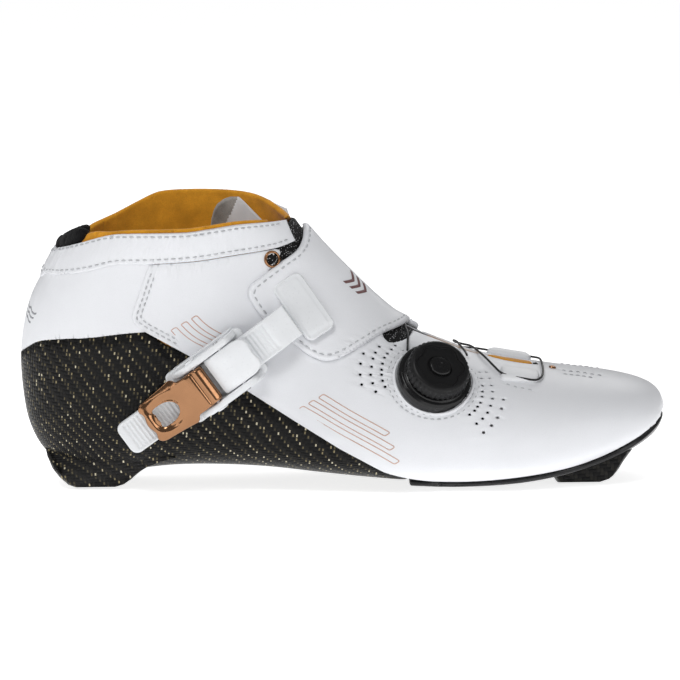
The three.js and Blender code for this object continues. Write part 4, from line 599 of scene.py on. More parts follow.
hc_loop = loop_of(rev(L_SHELL), M_SHELL[1:], rev(med(hc_lat)), rev(med(up2(BAND_LOW[:5], 0, 2))), lat(up2(BAND_LOW[:5], 0, 2))[1:], lat(hc_lat))
counter = panel("heel_counter_v", hc_loop, -.42, -.95, roll=.7); dress(counter, M_LEATHER, replaces=["heel_counter"])
band_loop = loop_of(rev(L_BLOW), M_BLOW[1:], rev(M_BTOP), L_BTOP[1:])
b_lo, b_hi = loop_of(rev(L_BLOW), M_BLOW[1:]), loop_of(rev(L_BTOP), M_BTOP[1:])
band_a, band_b = inset(b_lo, 1.9, band_loop)[2:-2], inset(b_hi, 1.3, band_loop)[2:-2]
def band_puff(q, d): return .55*np.clip(d/6, 0, 1)
band = panel("collar_band_v", band_loop, .38, -1.95, roll=.9, edge=.75, grooves=[band_a, band_b], shape=band_puff); dress(band, M_LEATHER, replaces=["collar_band"])

# ------------------------------------------------------------------ lining, tongue, pads, footbed
lin_top_l = lat([[-118,98.3],[-108.5,101.6],[-105.2,106.2],[-101,107.6],[-94.1,107.7],[-85,108.2],[-63,108.2],[-52.4,109.2],[-40.9,110.4],[-30.2,110.7],[-27,110.7]])
lin_top_m = med([[-118,98.3],[-108.5,101.5],[-105.4,105.6],[-99,107.9],[-94.1,109.6],[-85.8,113.2],[-78.2,116.4],[-72.8,117.6],[-60.2,118.1],[-37.4,117.9],[-28,116.2],[-21,112.8],[-18,111.0]])
u_of = lambda x, z, side: (lat if side < 0 else med)([[x, z], [x+.1, z]])[0]
lin_bot = loop_of(lat([[-14,74],[-40,52],[-80,44],[-128,42]], 2.5), med([[-128,42],[-80,44],[-40,52],[-14,74]], 2.5))
front_l = lat([[-28,104],[-30,94],[-32,84],[-26,76]]); front_m = med([[-18.4,107],[-19,96],[-22,84],[-20,76]])
lin_loop = loop_of(rev(lin_top_l), lin_top_m[1:], front_m, rev(lin_bot), rev(front_l))
def soft_wave(q, d):
    u, s = undisc(q); P = on_form(u, s, np.zeros(len(u))); return .35*np.sin(P[:, 0]*.21+P[:, 2]*.13)*np.cos(P[:, 2]*.17-P[:, 0]*.05)
lining = panel("collar_lining_v", lin_loop, -2.1, -4.6, roll=1.25, double=True, edge=.05, grid=form_grid(2.6), resample=1.1); dress(lining, M_SUEDE, replaces=["collar_lining"])
pad_lat = [[-121,98.6],[-115.4,99.4],[-107,102.9],[-103.2,104.6],[-102.4,108],[-103,110.6],[-109.5,109.2],[-113.6,105.6]]
pad_bot, pad_top = [[-118.4,98.7],[-112,100.4],[-108.4,101.4]], [[-108.4,101.4],[-105.0,105.0],[-104.4,108.0],[-108.4,108.2],[-112.6,105.6]]
pad_bot_m, pad_top_m = [[-118.4,98.3],[-112,99.6],[-106.2,101.2]], [[-106.2,101.2],[-104.6,103.6],[-106,105.2],[-110,104.4],[-113.6,102.2]]
hb, ht = heel_at(98.4), heel_at(103.4)
pad_loop = loop_of(hb, lat(pad_bot), lat(pad_top)[1:], ht, rev(med(pad_top_m)), rev(med(pad_bot_m))[1:])
def pad_puff(q, d): return .7*np.sqrt(np.clip(d/4.5, 0, 1))
pad = panel("achilles_pad_v", pad_loop, .1, -4.2, roll=1.9, double=True, edge=.15, shape=pad_puff, grid=form_grid(1.6)); dress(pad, M_NEOPRENE, replaces=["achilles_pad"])
ton_l, ton_m = throat_side(-12, 39, -1, 4.4), throat_side(-12, 39, 1, 4.4)
ton_top = top([[-21,-13],[-22.5,-8],[-23.5,0],[-22.5,8],[-21,13]], 2.0)
ton_loop = loop_of(rev(ton_l), lat([[-25,80],[-35,86],[-34,96],[-26,102],[-21.5,107.5]], 1.6, False), arc(lat([[-21.5,107.5],[-21.4,107.5]])[0], med([[-20,108.5],[-20.1,108.5]])[0], 14)[1:-1], rev(med([[-25,80],[-30,86],[-30,96],[-24,103],[-20,108.5]], 1.6, False)), ton_m)
tongue = panel("tongue_v", ton_loop, -.85, -3.9, roll=1.4, double=True, edge=.1, grid=form_grid(1.9)); dress(tongue, M_MESH, replaces=["tongue"])
gus_loop = top([[36,-16],[60,-17],[89,-14],[89,6],[60,12],[36,14],[36,-16]], 3, False)
gusset = panel("throat_gusset_v", clean_loop(gus_loop), -.75, -2.2, roll=.8, offset=False); dress(gusset, M_SUEDE, replaces=["throat_gusset"])
def footbed_mesh():
    FB = np.array([[-150,17],[-122,14],[-108,11.5],[-90,11.8],[-70,13.4],[-50,13.8],[-30,13],[-10,11.2],[10,9.6],[28,8.6],[44,8.2],[60,8.4],[75,9.2],[90,11.2],[103,14],[112,17],[120,20],[140,28]])
    V, F, n = [], [], 21; xs = np.linspace(-121, 119, 110)
    for x in xs:
        z = np.interp(x, FB[:, 0], FB[:, 1]); row = []
        k = np.maximum(np.abs(FP[..., 0]-x)/1.5, np.abs(FP[..., 2]-(z-2.4))/1.5); yl = FP[..., 1][(k < 1) & (FP[..., 1] < 0)]; ym = FP[..., 1][(k < 1) & (FP[..., 1] > 0)]
        a = (yl.mean() if len(yl) else -8)+3.4; b = (ym.mean() if len(ym) else 8)-3.4; a, b = min(a, -3), max(b, 3)
        if abs(x) > 112: f = math.sqrt(max(0, 1-((abs(x)-112)/10.5)**2)); a *= f; b *= f
        for t in np.linspace(0, 1, n): V.append((x, a+(b-a)*t, z+.9*abs(2*t-1)**4))
    for i in range(len(xs)-1):
        for j in range(n-1): F.append((i*n+j, (i+1)*n+j, (i+1)*n+j+1, i*n+j+1))
    N = len(V); V += [(x, y, z-2.6) for x, y, z in V]; F += [tuple(i+N for i in f[::-1]) for f in F]
    m = len(xs); rim = [j for j in range(n)]+[i*n+n-1 for i in range(1, m)]+[(m-1)*n+j for j in range(n-2, -1, -1)]+[i*n for i in range(m-2, 0, -1)]
    for a, b in zip(rim, rim[1:]+rim[:1]): F.append((a, b, b+N, a+N))
    ob = new_object("footbed_v", to_m(V), F); bm = bmesh.new(); bm.from_mesh(ob.data); bmesh.ops.recalc_face_normals(bm, faces=bm.faces); bm.to_mesh(ob.data); bm.free(); return ob
footbed = dress(footbed_mesh(), M_FOAM, replaces=["footbed"])

# loose end of the ankle wrap: a limp sheet curling over itself
def flap_mesh():
    V, F, nx, nz = [], [], 40, 40; xl, xr, xa = -54.2, -30.5, -43.6
    OUT = np.array([(-53.4,103),(-53.0,107.8),(-52.0,111.6),(-50.5,114.2),(-47.5,116.2),(-44.8,116.9),(-41.3,116.8),(-39.6,115.4),(-36.4,111.8),(-31.1,106.4),(-30.5,104)])
    for i in range(nx+1):
        for j in range(nz+1):
            a, b = i/nx, j/nz; x = -53.4+22.9*a; zt = np.interp(x, OUT[:, 0], OUT[:, 1]); z = 68+(zt-68)*b; roll = max(0, (.55-a)/.55); hi = max(0, (z-98)/19)
            y = 8.8+1.4*math.sin(math.pi*a)-4.6*roll**1.5*hi**1.2+.5*math.sin(8*a+.2*z)*hi-1.3*math.exp(-((a-.52)/.12)**2)*hi; V.append((x+.8*roll*hi, y, z))
    for i in range(nx):
        for j in range(nz): k = i*(nz+1)+j; F.append((k, k+nz+1, k+nz+2, k+1))
    ob = new_object("inner_flap_v", to_m(V), F); ob.data.materials.append(M_PILE); ob.data.materials.append(M_FLAP)
    for p in ob.data.polygons:
        c = p.center*1000; x_, z_ = c.x-SHIFT[0], c.z-SHIFT[2]; p.material_index = 0 if x_ < -41.3-6.3*(116.8-z_)/11.8 else 1
    m = ob.modifiers.new("t", "SOLIDIFY"); m.thickness = .0011; m.offset = 0; apply_all(ob); ob.data.shade_smooth(); return ob
flap = flap_mesh(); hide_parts("inner_flap"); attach(flap, "root")

# ------------------------------------------------------------------ ankle strap
STRAP_LAT = [[-10,118],[-13.8,104],[-15,101],[-25.3,92.7],[-36,84.8],[-37.4,80.5],[-36.1,77.5],[-30.9,70.2],[-18.5,60],[-15.3,57.3],[-11.6,55],[-6.3,53.2],[-0.2,54.2],[8.9,58.6],[16.8,62.6],[27,65],[40,76]]
STRAP_MED = [[-10,118],[-13.8,104],[-34,78],[-47,58],[-49,52],[-46,47],[-22,35],[-16,35],[-11,39],[6,55],[27,65],[40,76]]
def lift(t):
    P = form_map(disc(t), np.zeros(len(t))); r = np.linalg.norm(P-P[0], axis=1); t = t.copy(); t[:, 0] += .46*np.exp(-(r/7.5)**2); return t
def strap_loop():
    a = lat([[-13.9,104.6],[-15.2,100.6],[-18.0,96.8],[-25.3,92.3],[-36,84.8],[-37.4,80.5],[-36.1,77.5],[-30.9,70.2],[-18.5,60],[-15.3,57.3],[-11.6,55],[-6.3,53.2],[-0.2,54.2],[8.9,58.6],[16.8,62.4],[29.6,65.4]])
    b = med([[-13.8,104],[-34,78],[-47,58],[-49,52],[-46,47],[-22,35],[-16,35],[-11,39],[6,55],[29.4,65]])
    a, b = lift(a), lift(b)
    s0, s1 = a[0], b[0]; e0, e1 = a[-1], b[-1]; f = np.linspace(0, 1, 16)[1:-1, None]
    fr = e0+(e1-e0)*f; fr[:, 0] -= .32*np.sin(math.pi*f[:, 0]); bk_ = s1+(s0-s1)*f; return a, b, loop_of(a, fr, rev(b), bk_)
SA, SB, sloop = strap_loop()
def strap_shape(q, d):
    u, s = undisc(q); P = on_form(u, s, np.zeros(len(u))); c = P-np.array([-13.5, -31, 77]); near = np.exp(-((c[:, 0]+c[:, 2]*.2)/9)**2-(c[:, 2]/15)**2)
    fold = .5*np.exp(-(((P[:, 0]+P[:, 2]*.55)-34)/5.0)**2)*(P[:, 1] < 2)*np.exp(-((P[:, 1]+12)/10)**2); return -.05*near+.35*np.clip(d/3.5, 0, 1)+.4*fold+1.3*np.clip((13.0-u)/.9, 0, 1)*np.exp(-((s-1.0)/.09)**2)
s_ina = side_of(SA, sloop); str_a = offset_rows(SA, 2.1, s_ina)[2:-2]; s_inb = side_of(SB, sloop); str_b = offset_rows(SB, 2.1, s_inb)[2:-2]
strap = panel("ankle_strap_v", sloop, 2.05, .2, roll=1.1, shape=strap_shape, grooves=[str_a, str_b]); dress(strap, M_STRAP, replaces=["ankle_strap"], ride=False)
def strap_at(d): return lambda q, h: on_form(*undisc(q), h+2.05+strap_shape(q, np.full(len(q), d)))
strap_map = strap_at(6.0)

# ------------------------------------------------------------------ stitching of the upper
def sp(us): return (disc(us), form_map)
def vamp_at(d): return lambda q, h: form_map(q, h+seat(q, np.full(len(q), float(d))))
thread_upper = stitches("stitches_upper", [(disc(seam_a), vamp_at(2.0)), (disc(seam_b), vamp_at(3.6)), sp(mseam_a), sp(mseam_b), sp(toe_a), sp(toe_b), sp(toe_c), sp(toe_d), sp(flap_st)], 2.6, 1.75, .27, .0)
dress(thread_upper, M_THREAD)
def band_map(q, h): u, s = undisc(q); return on_form(u, s, h+.62)
thread_band = stitches("stitches_collar", [(disc(band_a), band_map), (disc(band_b), band_map)], 2.9, 1.9, .28, .02); dress(thread_band, M_THREAD)
ring_close = lambda r: np.concatenate([r, r[:1]])
thread_ring = stitches("stitches_dial_ring", [sp(ring_close(ringA)), sp(ring_close(ringB))], 2.7, 1.7, .26, .0); dress(thread_ring, M_THREAD)
thread_strap = stitches("stitches_strap", [(disc(str_a), strap_at(2.1)), (disc(str_b), strap_at(2.1))], 3.2, 2.1, .30, .0); dress(thread_strap, M_THREAD, ride=False)

# ------------------------------------------------------------------ printed marks (plain slanted bars and chevrons)
def ribbon(name, paths, width, h, mapper, mat, closed=True, body="root", ride=True):
    V, F = [], []
    for pl in paths:
        pl = np.array(pl); pl = np.concatenate([pl, pl[:1]]) if closed else pl; q = dense_dom(pl, mapper, .5)
        P = mapper(q, np.full(len(q), h)); N = mapper(q, np.full(len(q), h+1))-P; t = np.gradient(P, axis=0); t /= np.maximum(np.linalg.norm(t, axis=1, keepdims=True), 1e-9)
        sd = np.cross(t, N); sd /= np.maximum(np.linalg.norm(sd, axis=1, keepdims=True), 1e-9); b0 = len(V)
        for k in range(len(q)):
            for (x, y) in ((-.5, -.05), (-.36, .035), (.36, .035), (.5, -.05)): V.append(P[k]+sd[k]*x*width+N[k]*y)
        for k in range(len(q)-1):
            for j in range(3): F.append((b0+4*k+j, b0+4*k+j+1, b0+4*k+5+j, b0+4*k+4+j))
            F.append((b0+4*k+3, b0+4*k, b0+4*k+4, b0+4*k+7))
    ob = new_object(name, to_m(V), F); bm = bmesh.new(); bm.from_mesh(ob.data); bmesh.ops.holes_fill(bm, edges=[e for e in bm.edges if e.is_boundary]); bmesh.ops.recalc_face_normals(bm, faces=bm.faces); bm.to_mesh(ob.data); bm.free(); ob.data.shade_smooth(); return dress(ob, mat, body, ride=ride)
def bar(x0, z0, du, w, hgt, slant, r=1.3):
    """A slanted bar with rounded corners on the side of the boot: x0, z0 its foot, du along the diagonal."""
    d = np.array([math.cos(math.radians(-29.5)), math.sin(math.radians(-29.5))]); n = np.array([-d[1], d[0]]); n2 = n+d*slant
    o = np.array([x0, z0])+d*du; c = [o, o+d*w, o+d*w+n2*hgt, o+n2*hgt]; out = []
    for i in range(4):
        a, b, e = c[i-1], c[i], c[(i+1) % 4]; ua = (a-b)/np.linalg.norm(a-b); ue = (e-b)/np.linalg.norm(e-b)
        for t in np.linspace(0, 1, 6): out.append(b+ua*r*(1-t)**2+ue*r*t**2)
    return out
def lat_us(pts): return disc(np.array([invert(p, (0, 2), "lat") for p in pts]))
marks, D0 = [], (-71.5, 64.8)
for k, (du, w) in enumerate(((1.0, 33.0), (3.5, 33.0), (6.0, 33.0))): marks.append(bar(D0[0]+k*2.0+1.5, D0[1]+k*3.55+2.6, du, w-11, 2.3, .5, .8))
for k, (du, w) in enumerate(((62.0, 45.0), (64.5, 38.0), (67.0, 31.0))): marks.append(bar(D0[0]+k*2.0, D0[1]+k*3.55, du, w, 2.3, .5, .8))
P_ = [lat_us(m) for m in marks]
ribbon("side_marks", P_, .46, .03, vamp_at(10), M_PRINT)
def local_us(u, s, pts, mapper=form_map):
    q0 = disc(np.array([[u, s], [u+.05, s], [u, s+.002]])); P = mapper(q0, np.zeros(3)); eu = P[1]-P[0]; eu /= np.linalg.norm(eu); es = P[2]-P[0]; es -= eu*(es@eu); es /= np.linalg.norm(es)
    b = on_form(np.array([u]), np.array([s]), np.zeros(1))[0]; return np.array([on3(b+eu*x+es*y) for x, y in pts])
chev = []
for k in range(3):
    o = -4.2+k*3.4; chev.append([(o+2.6, -4.6), (o+4.1, -4.6), (o+1.5, 0), (o+4.1, 4.6), (o+2.6, 4.6), (o, 0)])
chev = [local_us(15.05, .950, c) for c in chev]
def solid_mark(name, loops, mapper, h, mat, slot, ride=True, th=.05):
    obs = []
    for k, l in enumerate(loops):
        g = np.array(l); lo, hi = g.min(0), g.max(0); gx, gy = np.meshgrid(np.linspace(lo[0], hi[0], 14), np.linspace(lo[1], hi[1], 14)); obs.append(sheet_mesh(name+str(k), g, mapper, np.c_[gx.ravel(), gy.ravel()], h+th, h-.05, roll=.08, resample=.5, edge=.2, offset=False))
    return join(name, obs)
def join(name, obs):
    bm = bmesh.new()
    for o in obs:
        me = o.data.copy(); me.transform(o.matrix_world); bm.from_mesh(me); bpy.data.meshes.remove(me); bpy.data.objects.remove(o)
    me = bpy.data.meshes.new(name); bm.to_mesh(me); bm.free(); me.shade_smooth(); ob = bpy.data.objects.new(name, me); bpy.context.scene.collection.objects.link(ob); return ob
chevron = solid_mark("strap_chevrons", [disc(np.array(c)) for c in chev], strap_map, .14, M_MAROON, "strap_leather"); dress(chevron, M_MAROON, ride=False)
stripes = []
hm = np.array(invert((-128.4, 73.0), (0, 2), "lat")); hc = on_form(hm[:1], hm[1:2], np.zeros(1))[0]; hn = fetch(FN, hm[:1], hm[1:2])[0]; ht_ = np.cross([0, 0, 1.0], hn); ht_ /= np.linalg.norm(ht_)
if ht_[0] < 0: ht_ = -ht_
for k, L_ in enumerate((12.5, 10.5, 8.0)):
    c0 = hc+np.array([0, 0, 2.0-2.2*k])+ht_*(1.2-.9*k); e = [c0-ht_*L_*.5+np.array([0, 0, 2.0]), c0+ht_*L_*.5-np.array([0, 0, 2.0])]
    stripes.append(disc(np.array([on3(p) for p in (e[0], e[0]*.5+e[1]*.5, e[1], e[1]-[0, 0, .75], e[0]*.5+e[1]*.5-[0, 0, 1.0], e[0]-[0, 0, .75])])))
heel_marks = solid_mark("heel_marks", stripes, lambda q, h: form_map(q, h-.42), .02, M_GREY, "white_leather"); dress(heel_marks, M_GREY)

# ------------------------------------------------------------------ turned and moulded parts
def chaikin(pts, n=2, keep_ends=True):
    P = np.array(pts, float)
    for _ in range(n):
        Q = [P[0]] if keep_ends else []
        for a, b in zip(P[:-1], P[1:]): Q += [a*.75+b*.25, a*.25+b*.75]
        if keep_ends: Q.append(P[-1])
        P = np.array(Q)
    return P
DN = np.array([.260339, -.730951, .630821]); DP = np.array([37.233, -30.720, 46.722])-SHIFT
DE1 = np.array([1, 0, 0])-DN*DN[0]; DE1 /= np.linalg.norm(DE1); DE2 = np.cross(DN, DE1)
def lathe(name, prof, seg=96, mod=None, P0=DP, ax=DN, e1=DE1, e2=DE2, round_=2):
    """prof: (r, h) from the axis out and back to it, or a closed ring when it ends where it starts."""
    closed = abs(prof[0][0]-prof[-1][0]) < 1e-6 and abs(prof[0][1]-prof[-1][1]) < 1e-6
    P = np.array(prof, float)
    D = [P[0]]
    for a, b in zip(P[:-1], P[1:]):
        L = np.linalg.norm(b-a); D += [a+(b-a)*t for t in ([.5] if L < .7 else [.28/L, 1-.28/L] if L < 1.6 else [.28/L, .5, 1-.28/L])]+[b]
    P = chaikin(D, round_); 
    if closed: P = P[:-1]
    V, F, n = [], [], len(P)
    for k in range(seg):
        th = 2*math.pi*k/seg
        for (r, h) in P:
            if mod: r, h = mod(r, h, th)
            V.append(P0+ax*h+(e1*math.cos(th)+e2*math.sin(th))*r)
    for k in range(seg):
        k2 = (k+1) % seg
        for j in range(n if closed else n-1): F.append((k*n+j, k2*n+j, k2*n+(j+1) % n, k*n+(j+1) % n))
    ob = new_object(name, to_m(V), F); bm = bmesh.new(); bm.from_mesh(ob.data); bmesh.ops.remove_doubles(bm, verts=bm.verts, dist=1e-6); bmesh.ops.dissolve_degenerate(bm, dist=1e-7, edges=bm.edges); bmesh.ops.recalc_face_normals(bm, faces=bm.faces); bm.to_mesh(ob.data); bm.free(); ob.data.shade_smooth(); return ob
base_prof = [[0,-5.4],[13.4,-5.4],[15.0,-4.2],[15.6,-2.0],[15.7,.6],[15.3,1.9],[14.4,2.7],[13.3,2.95],[13.0,3.4],[12.4,3.6],[9.4,3.6],[9.2,3.0],[9.2,1.0],[0,1.0]]
dial_base = lathe("dial_base_v", base_prof, 128); dress(dial_base, M_BGLOSS, replaces=["dial_base"])
spool = lathe("dial_spool_v", [[2.2,1.3],[8.6,1.3],[8.6,1.8],[7.0,2.1],[7.0,3.2],[8.6,3.5],[8.6,4.0],[2.2,4.0],[2.2,1.3]], 72); dress(spool, M_BPLASTIC, "spool", ["dial_spool"])
for nm in ("rear_threaded_insert", "front_threaded_insert"):
    bb = np.array([list(v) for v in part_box(nm)[:2]], float)*1000; c_i = np.array([(bb[0, 0]+bb[1, 0])/2, (bb[0, 1]+bb[1, 1])/2, bb[0, 2]])-SHIFT; H_ = float(bb[1, 2]-bb[0, 2]); R_ = float(bb[1, 0]-bb[0, 0])/2
    prof_i = [(R_-.35, 0), (R_, .35), (R_, H_-.05), (3.1, H_-.05)]; zz = H_-.05
    while zz > 1.2: prof_i += [(3.1, zz), (2.72, zz-.25), (2.72, zz-.35), (3.1, zz-.6)]; zz -= .8
    prof_i += [(3.1, .8), (3.5, 0), (R_-.35, 0)]
    dress(lathe(nm+"_v", prof_i, 48, None, c_i, np.array([0, 0, 1.0]), np.array([1.0, 0, 0]), np.array([0, 1.0, 0]), 1), M_STEEL, replaces=[nm])
screw = lathe("dial_axle_screw_v", [[0,1.3],[1.9,1.3],[1.9,6.8],[.7,6.8],[.6,6.0],[0,6.0]], 32); dress(screw, M_STEEL, replaces=["dial_axle_screw"])
def knob_mod(r, h, th):
    if r > 12.2 and h < 9.2: r += .17*math.copysign(abs(math.cos(th*36))**.6, math.cos(th*36))-.12
    if h > 8.9 and r < 11.9:
        c = math.cos(6*th); edge = 8.35+1.55*(.5+.5*c)**.7; t = min(1, max(0, (r-edge)/.55)); t = t*t*(3-2*t); rim = 10.35-.55*max(0, (r-10.9))**1.6-.25*max(0, .0)
        h = 9.25+(rim-9.25)*t
        if r < 5.3: h = 9.25-.35*min(1, (5.3-r)/.4)
    return r, h
knob_prof = [[2.6,4.4],[9.6,4.4],[9.8,4.0],[12.4,4.0],[12.9,4.4],[13.0,5.0],[13.0,7.7],[12.8,8.4],[12.3,9.0],[11.9,9.5]]+[[r_, 9.6] for r_ in np.arange(11.6, 4.5, -.3)]+[[4.5,9.2],[2.6,9.2],[2.6,4.4]]
knob = lathe("dial_knob_v", knob_prof, 288, knob_mod); dress(knob, M_BPLASTIC, "knob", ["dial_knob"])
def cap_mod(r, h, th): return (r*(1-.13*abs(math.sin(th+.35))**1.5) if r > 1 else r), h
cap = lathe("dial_cap_v", [[0,8.9],[4.6,8.9],[4.8,9.3],[4.75,9.9],[4.3,10.4],[3.2,10.65],[1.6,10.75],[0,10.78]], 96, cap_mod); dress(cap, M_BGLOSS, "knob", ["dial_cap"])
# raised leather lip round the dial
def ring_on_form(name, u, s, r0, r1, h0, h1, mat, slot, nodes=(), seg=96, prof=None, arc_=None):
    c = on_form(np.array([u]), np.array([s]), np.zeros(1))[0]; n = fetch(FN, np.array([u]), np.array([s]))[0]; n /= np.linalg.norm(n); e1 = np.cross(n, [0, 1, .3]); e1 /= np.linalg.norm(e1); e2 = np.cross(n, e1)
    prof = prof or [(r0, h0), (r0, h1-.25), (r0+.15, h1), (r0+(r1-r0)*.5, h1+.12), (r1-.2, h1), (r1, h1-.3), (r1, h0)]
    return lathe(name, list(prof)+[prof[0]], seg, None, c, n, e1, e2, 2)
dc = on_form(np.array([DU]), np.array([DS]), np.zeros(1))[0]
def lip():
    V, F = [], []; A = np.linspace(0, 2*math.pi, 128, endpoint=False); nrm = DN
    prof = [(15.9, -.6), (15.95, .5), (16.15, .95), (16.5, 1.05), (16.85, .9), (17.1, .5), (17.35, .1), (17.5, -.35)]
    for a in A:
        for (r, h) in prof:
            p = DP+(DE1*math.cos(a)+DE2*math.sin(a))*r; u, s = on3(p); b = on_form(np.array([u]), np.array([s]), np.zeros(1))[0]; V.append(b+nrm*0+fetch(FN, np.array([u]), np.array([s]))[0]/np.linalg.norm(fetch(FN, np.array([u]), np.array([s]))[0])*h)
    n = len(prof)
    for i in range(128):
        for j in range(n): F.append((i*n+j, ((i+1) % 128)*n+j, ((i+1) % 128)*n+(j+1) % n, i*n+(j+1) % n))
    return new_object("dial_leather_lip", to_m(V), F)
lp = lip(); bm = bmesh.new(); bm.from_mesh(lp.data); bmesh.ops.recalc_face_normals(bm, faces=bm.faces); bm.to_mesh(lp.data); bm.free(); dress(lp, M_LEATHER)

# eyelets and rivet
ey_prof = [(2.5, -1.6), (2.5, .6), (2.7, 1.0), (3.05, 1.15), (3.4, 1.0), (3.6, .55), (3.6, 0), (3.0, -.2), (2.9, -1.6)]
dress(ring_on_form("eyelet_lateral_v", 20.05, .825, 0, 0, 0, 0, M_GOLD, "rose_gold", prof=ey_prof, seg=64), M_GOLD, replaces=["eyelet_lateral"])
dress(ring_on_form("eyelet_medial_v", 20.6, 2-.8, 0, 0, 0, 0, M_GOLD, "rose_gold", prof=ey_prof, seg=64), M_GOLD, replaces=["eyelet_medial"])
for nm_, uu_, ss_ in (("eyelet_lining_lateral", 20.05, .825), ("eyelet_lining_medial", 20.6, 2-.8)):
    dress(ring_on_form(nm_, uu_, ss_, 0, 0, 0, 0, M_MESH, "mesh", prof=[(0, -.6), (2.85, -.6), (2.85, .22), (1.6, .34), (0, .38)], seg=40), M_MESH)
rc = on_form(np.array([7.27]), np.array([.93]), np.zeros(1))[0]; rn = fetch(FN, np.array([7.27]), np.array([.93]))[0]; rn /= np.linalg.norm(rn); r1_ = np.cross(rn, [0, 1, .3]); r1_ /= np.linalg.norm(r1_)
dress(lathe("toe_rivet_v", [(0, -.6), (1.45, -.6), (1.5, .3), (1.3, .62), (.9, .8), (.4, .86), (0, .88)], 48, None, rc, rn, r1_, np.cross(rn, r1_)), M_GOLD, replaces=["toe_rivet"])

# ------------------------------------------------------------------ ankle buckle
BK0 = np.array([-88.5, -34.4, 22.0]); E1 = np.array([.8155, 0, .5787]); E2 = np.array([-.5787, 0, .8155]); BN = np.array([0, -1.0, 0])
def bk(a, v, h): return BK0+np.outer(a, E1)+np.outer(v, E2)+np.outer(h, BN)
def plate(name, outline, top_, bot_, roll=.5, holes=(), step=1.1, frame=bk, double=True, edge=.3, shape=None, resample=.6, grooves=()):
    fn = lambda f, q: np.asarray(f(q), float) if callable(f) else np.full(len(q), float(f))
    def mp(q, h): t = fn(top_, q); b = fn(bot_, q); return frame(q[:, 0], q[:, 1], b+(t-b)*h)
    o = np.array(outline, float); lo, hi = o.min(0), o.max(0); gx, gy = np.meshgrid(np.arange(lo[0]+step/2, hi[0], step), np.arange(lo[1]+step/2, hi[1], step))
    return sheet_mesh(name, o, mp, np.c_[gx.ravel(), gy.ravel()], 1.0, 0.0, roll, holes, double=double, edge=edge, shape=shape, resample=resample, grooves=grooves)
def rr(x0, y0, x1, y1, r, n=6):
    out = []
    for cx, cy, a0 in ((x1-r, y0+r, -90), (x1-r, y1-r, 0), (x0+r, y1-r, 90), (x0+r, y0+r, 180)):
        for t in np.linspace(0, 90, n): a = math.radians(a0+t); out.append([cx+r*math.cos(a), cy+r*math.sin(a)])
    return np.array(out)
def fillet(pts, r=.8, n=4):
    P = np.array(pts, float); out = []
    for i in range(len(P)):
        a, b, c = P[i-1], P[i], P[(i+1) % len(P)]; la, lc = np.linalg.norm(a-b), np.linalg.norm(c-b); k = min(r, la*.45, lc*.45); ua, uc = (a-b)/la, (c-b)/lc
        for t in np.linspace(0, 1, n): out.append(b+ua*k*(1-t)**2+uc*k*t**2)
    return np.array(out)
def wall_frame(a, h, w): return BK0+np.outer(a, E1)+np.outer(w, E2)+np.outer(h, BN)
floorPlan = [[29,-11.6],[30.5,-12.2],[64,-11.2],[65.5,-9.5],[65.5,9.5],[64,11.2],[30.5,12.2],[29,11.6],[27.5,8],[27.5,-8]]
wall_side = [[30.2,-1.5],[64,-1.5],[62.5,5],[59,9.8],[52,10.6],[46,11.6],[38,11.6],[33,7]]
parts = [plate("bf", fillet(floorPlan, 1.4), 2.6, -1.5, .6)]
for v0, v1 in ((8.6, 11.4), (-11.4, -8.6)):
    parts.append(plate("bw", fillet(wall_side, 2.0, 6), v1, v0, .7, frame=wall_frame, holes=[rr(48.6, 4.6, 57.0, 6.1, .7)[::1]]))
for v0, v1 in ((11.3, 12.3), (-12.3, -11.3)): parts.append(plate("bw2", fillet([[33, -1.2], [63, -1.2], [60.5, 3.4], [36, 4.2]], 1.2, 5), v1, v0, .45, frame=wall_frame))
for v0, v1 in ((11.2, 12.1), (-12.1, -11.2)):
    ring = np.array([[41.5+2.5*math.cos(t), 9.2-.6+2.5*math.sin(t)] for t in np.linspace(0, 2*math.pi, 28, endpoint=False)]); parts.append(plate("bw3", ring, v1, v0, .4, frame=wall_frame, step=.8, resample=.5))
bb = join("buckle_base_v", parts); dress(bb, M_WPLASTIC, replaces=["buckle_base"])
def cross_pin(name, a, h, r, v0, v1, node):
    c = bk(np.array([a]), np.array([v0]), np.array([h]))[0]; L = v1-v0
    return dress(lathe(name, [(0, 0), (r, 0), (r, .1), (r, L-.1), (r, L), (0, L)], 40, None, c, E2, E1, np.cross(E2, E1), 1), M_STEEL, replaces=[node])
cross_pin("lever_pin_v", 41.5, 9.2, 1.12, -11.9, 11.9, "lever_pin"); cross_pin("release_pin_v", 54.5, 8.4, 1.12, -11.9, 11.9, "release_pin")
c_ = bk(np.array([35.5]), np.array([0.]), np.array([.3]))[0]; dress(lathe("buckle_rivet_v", [(0, 0), (1.5, 0), (1.5, 1.6), (1.0, 2.0), (0, 2.0)], 40, None, c_, BN, E1, np.cross(BN, E1), 1), M_STEEL, replaces=["buckle_rivet"])
LT = np.array([[12.0,8.9],[13.4,9.6],[15.5,10.15],[20,10.7],[28,12.2],[36,13.4],[40.5,13.3],[42.5,12.9],[44.0,11.9],[44.6,10.6]]); LB = np.array([[12.0,7.9],[14,7.9],[20,9.1],[28,10.7],[36,11.5],[38,9.6],[39.2,7.6],[41.5,6.5],[44.2,7.8],[44.7,9.4]])
leverPlan = np.array([[12.2,-7],[13.6,-8.6],[15.5,-9.2],[24,-9.9],[30,-10.6],[31.4,-9.8],[32.4,-8.2],[44.4,-8.2],[44.4,8.2],[32.4,8.2],[31.4,9.8],[30,10.6],[24,9.9],[15.5,9.2],[13.6,8.6],[12.2,7],[13.5,4.2],[12.3,1.2],[12.3,-1.2],[13.5,-4.2]])
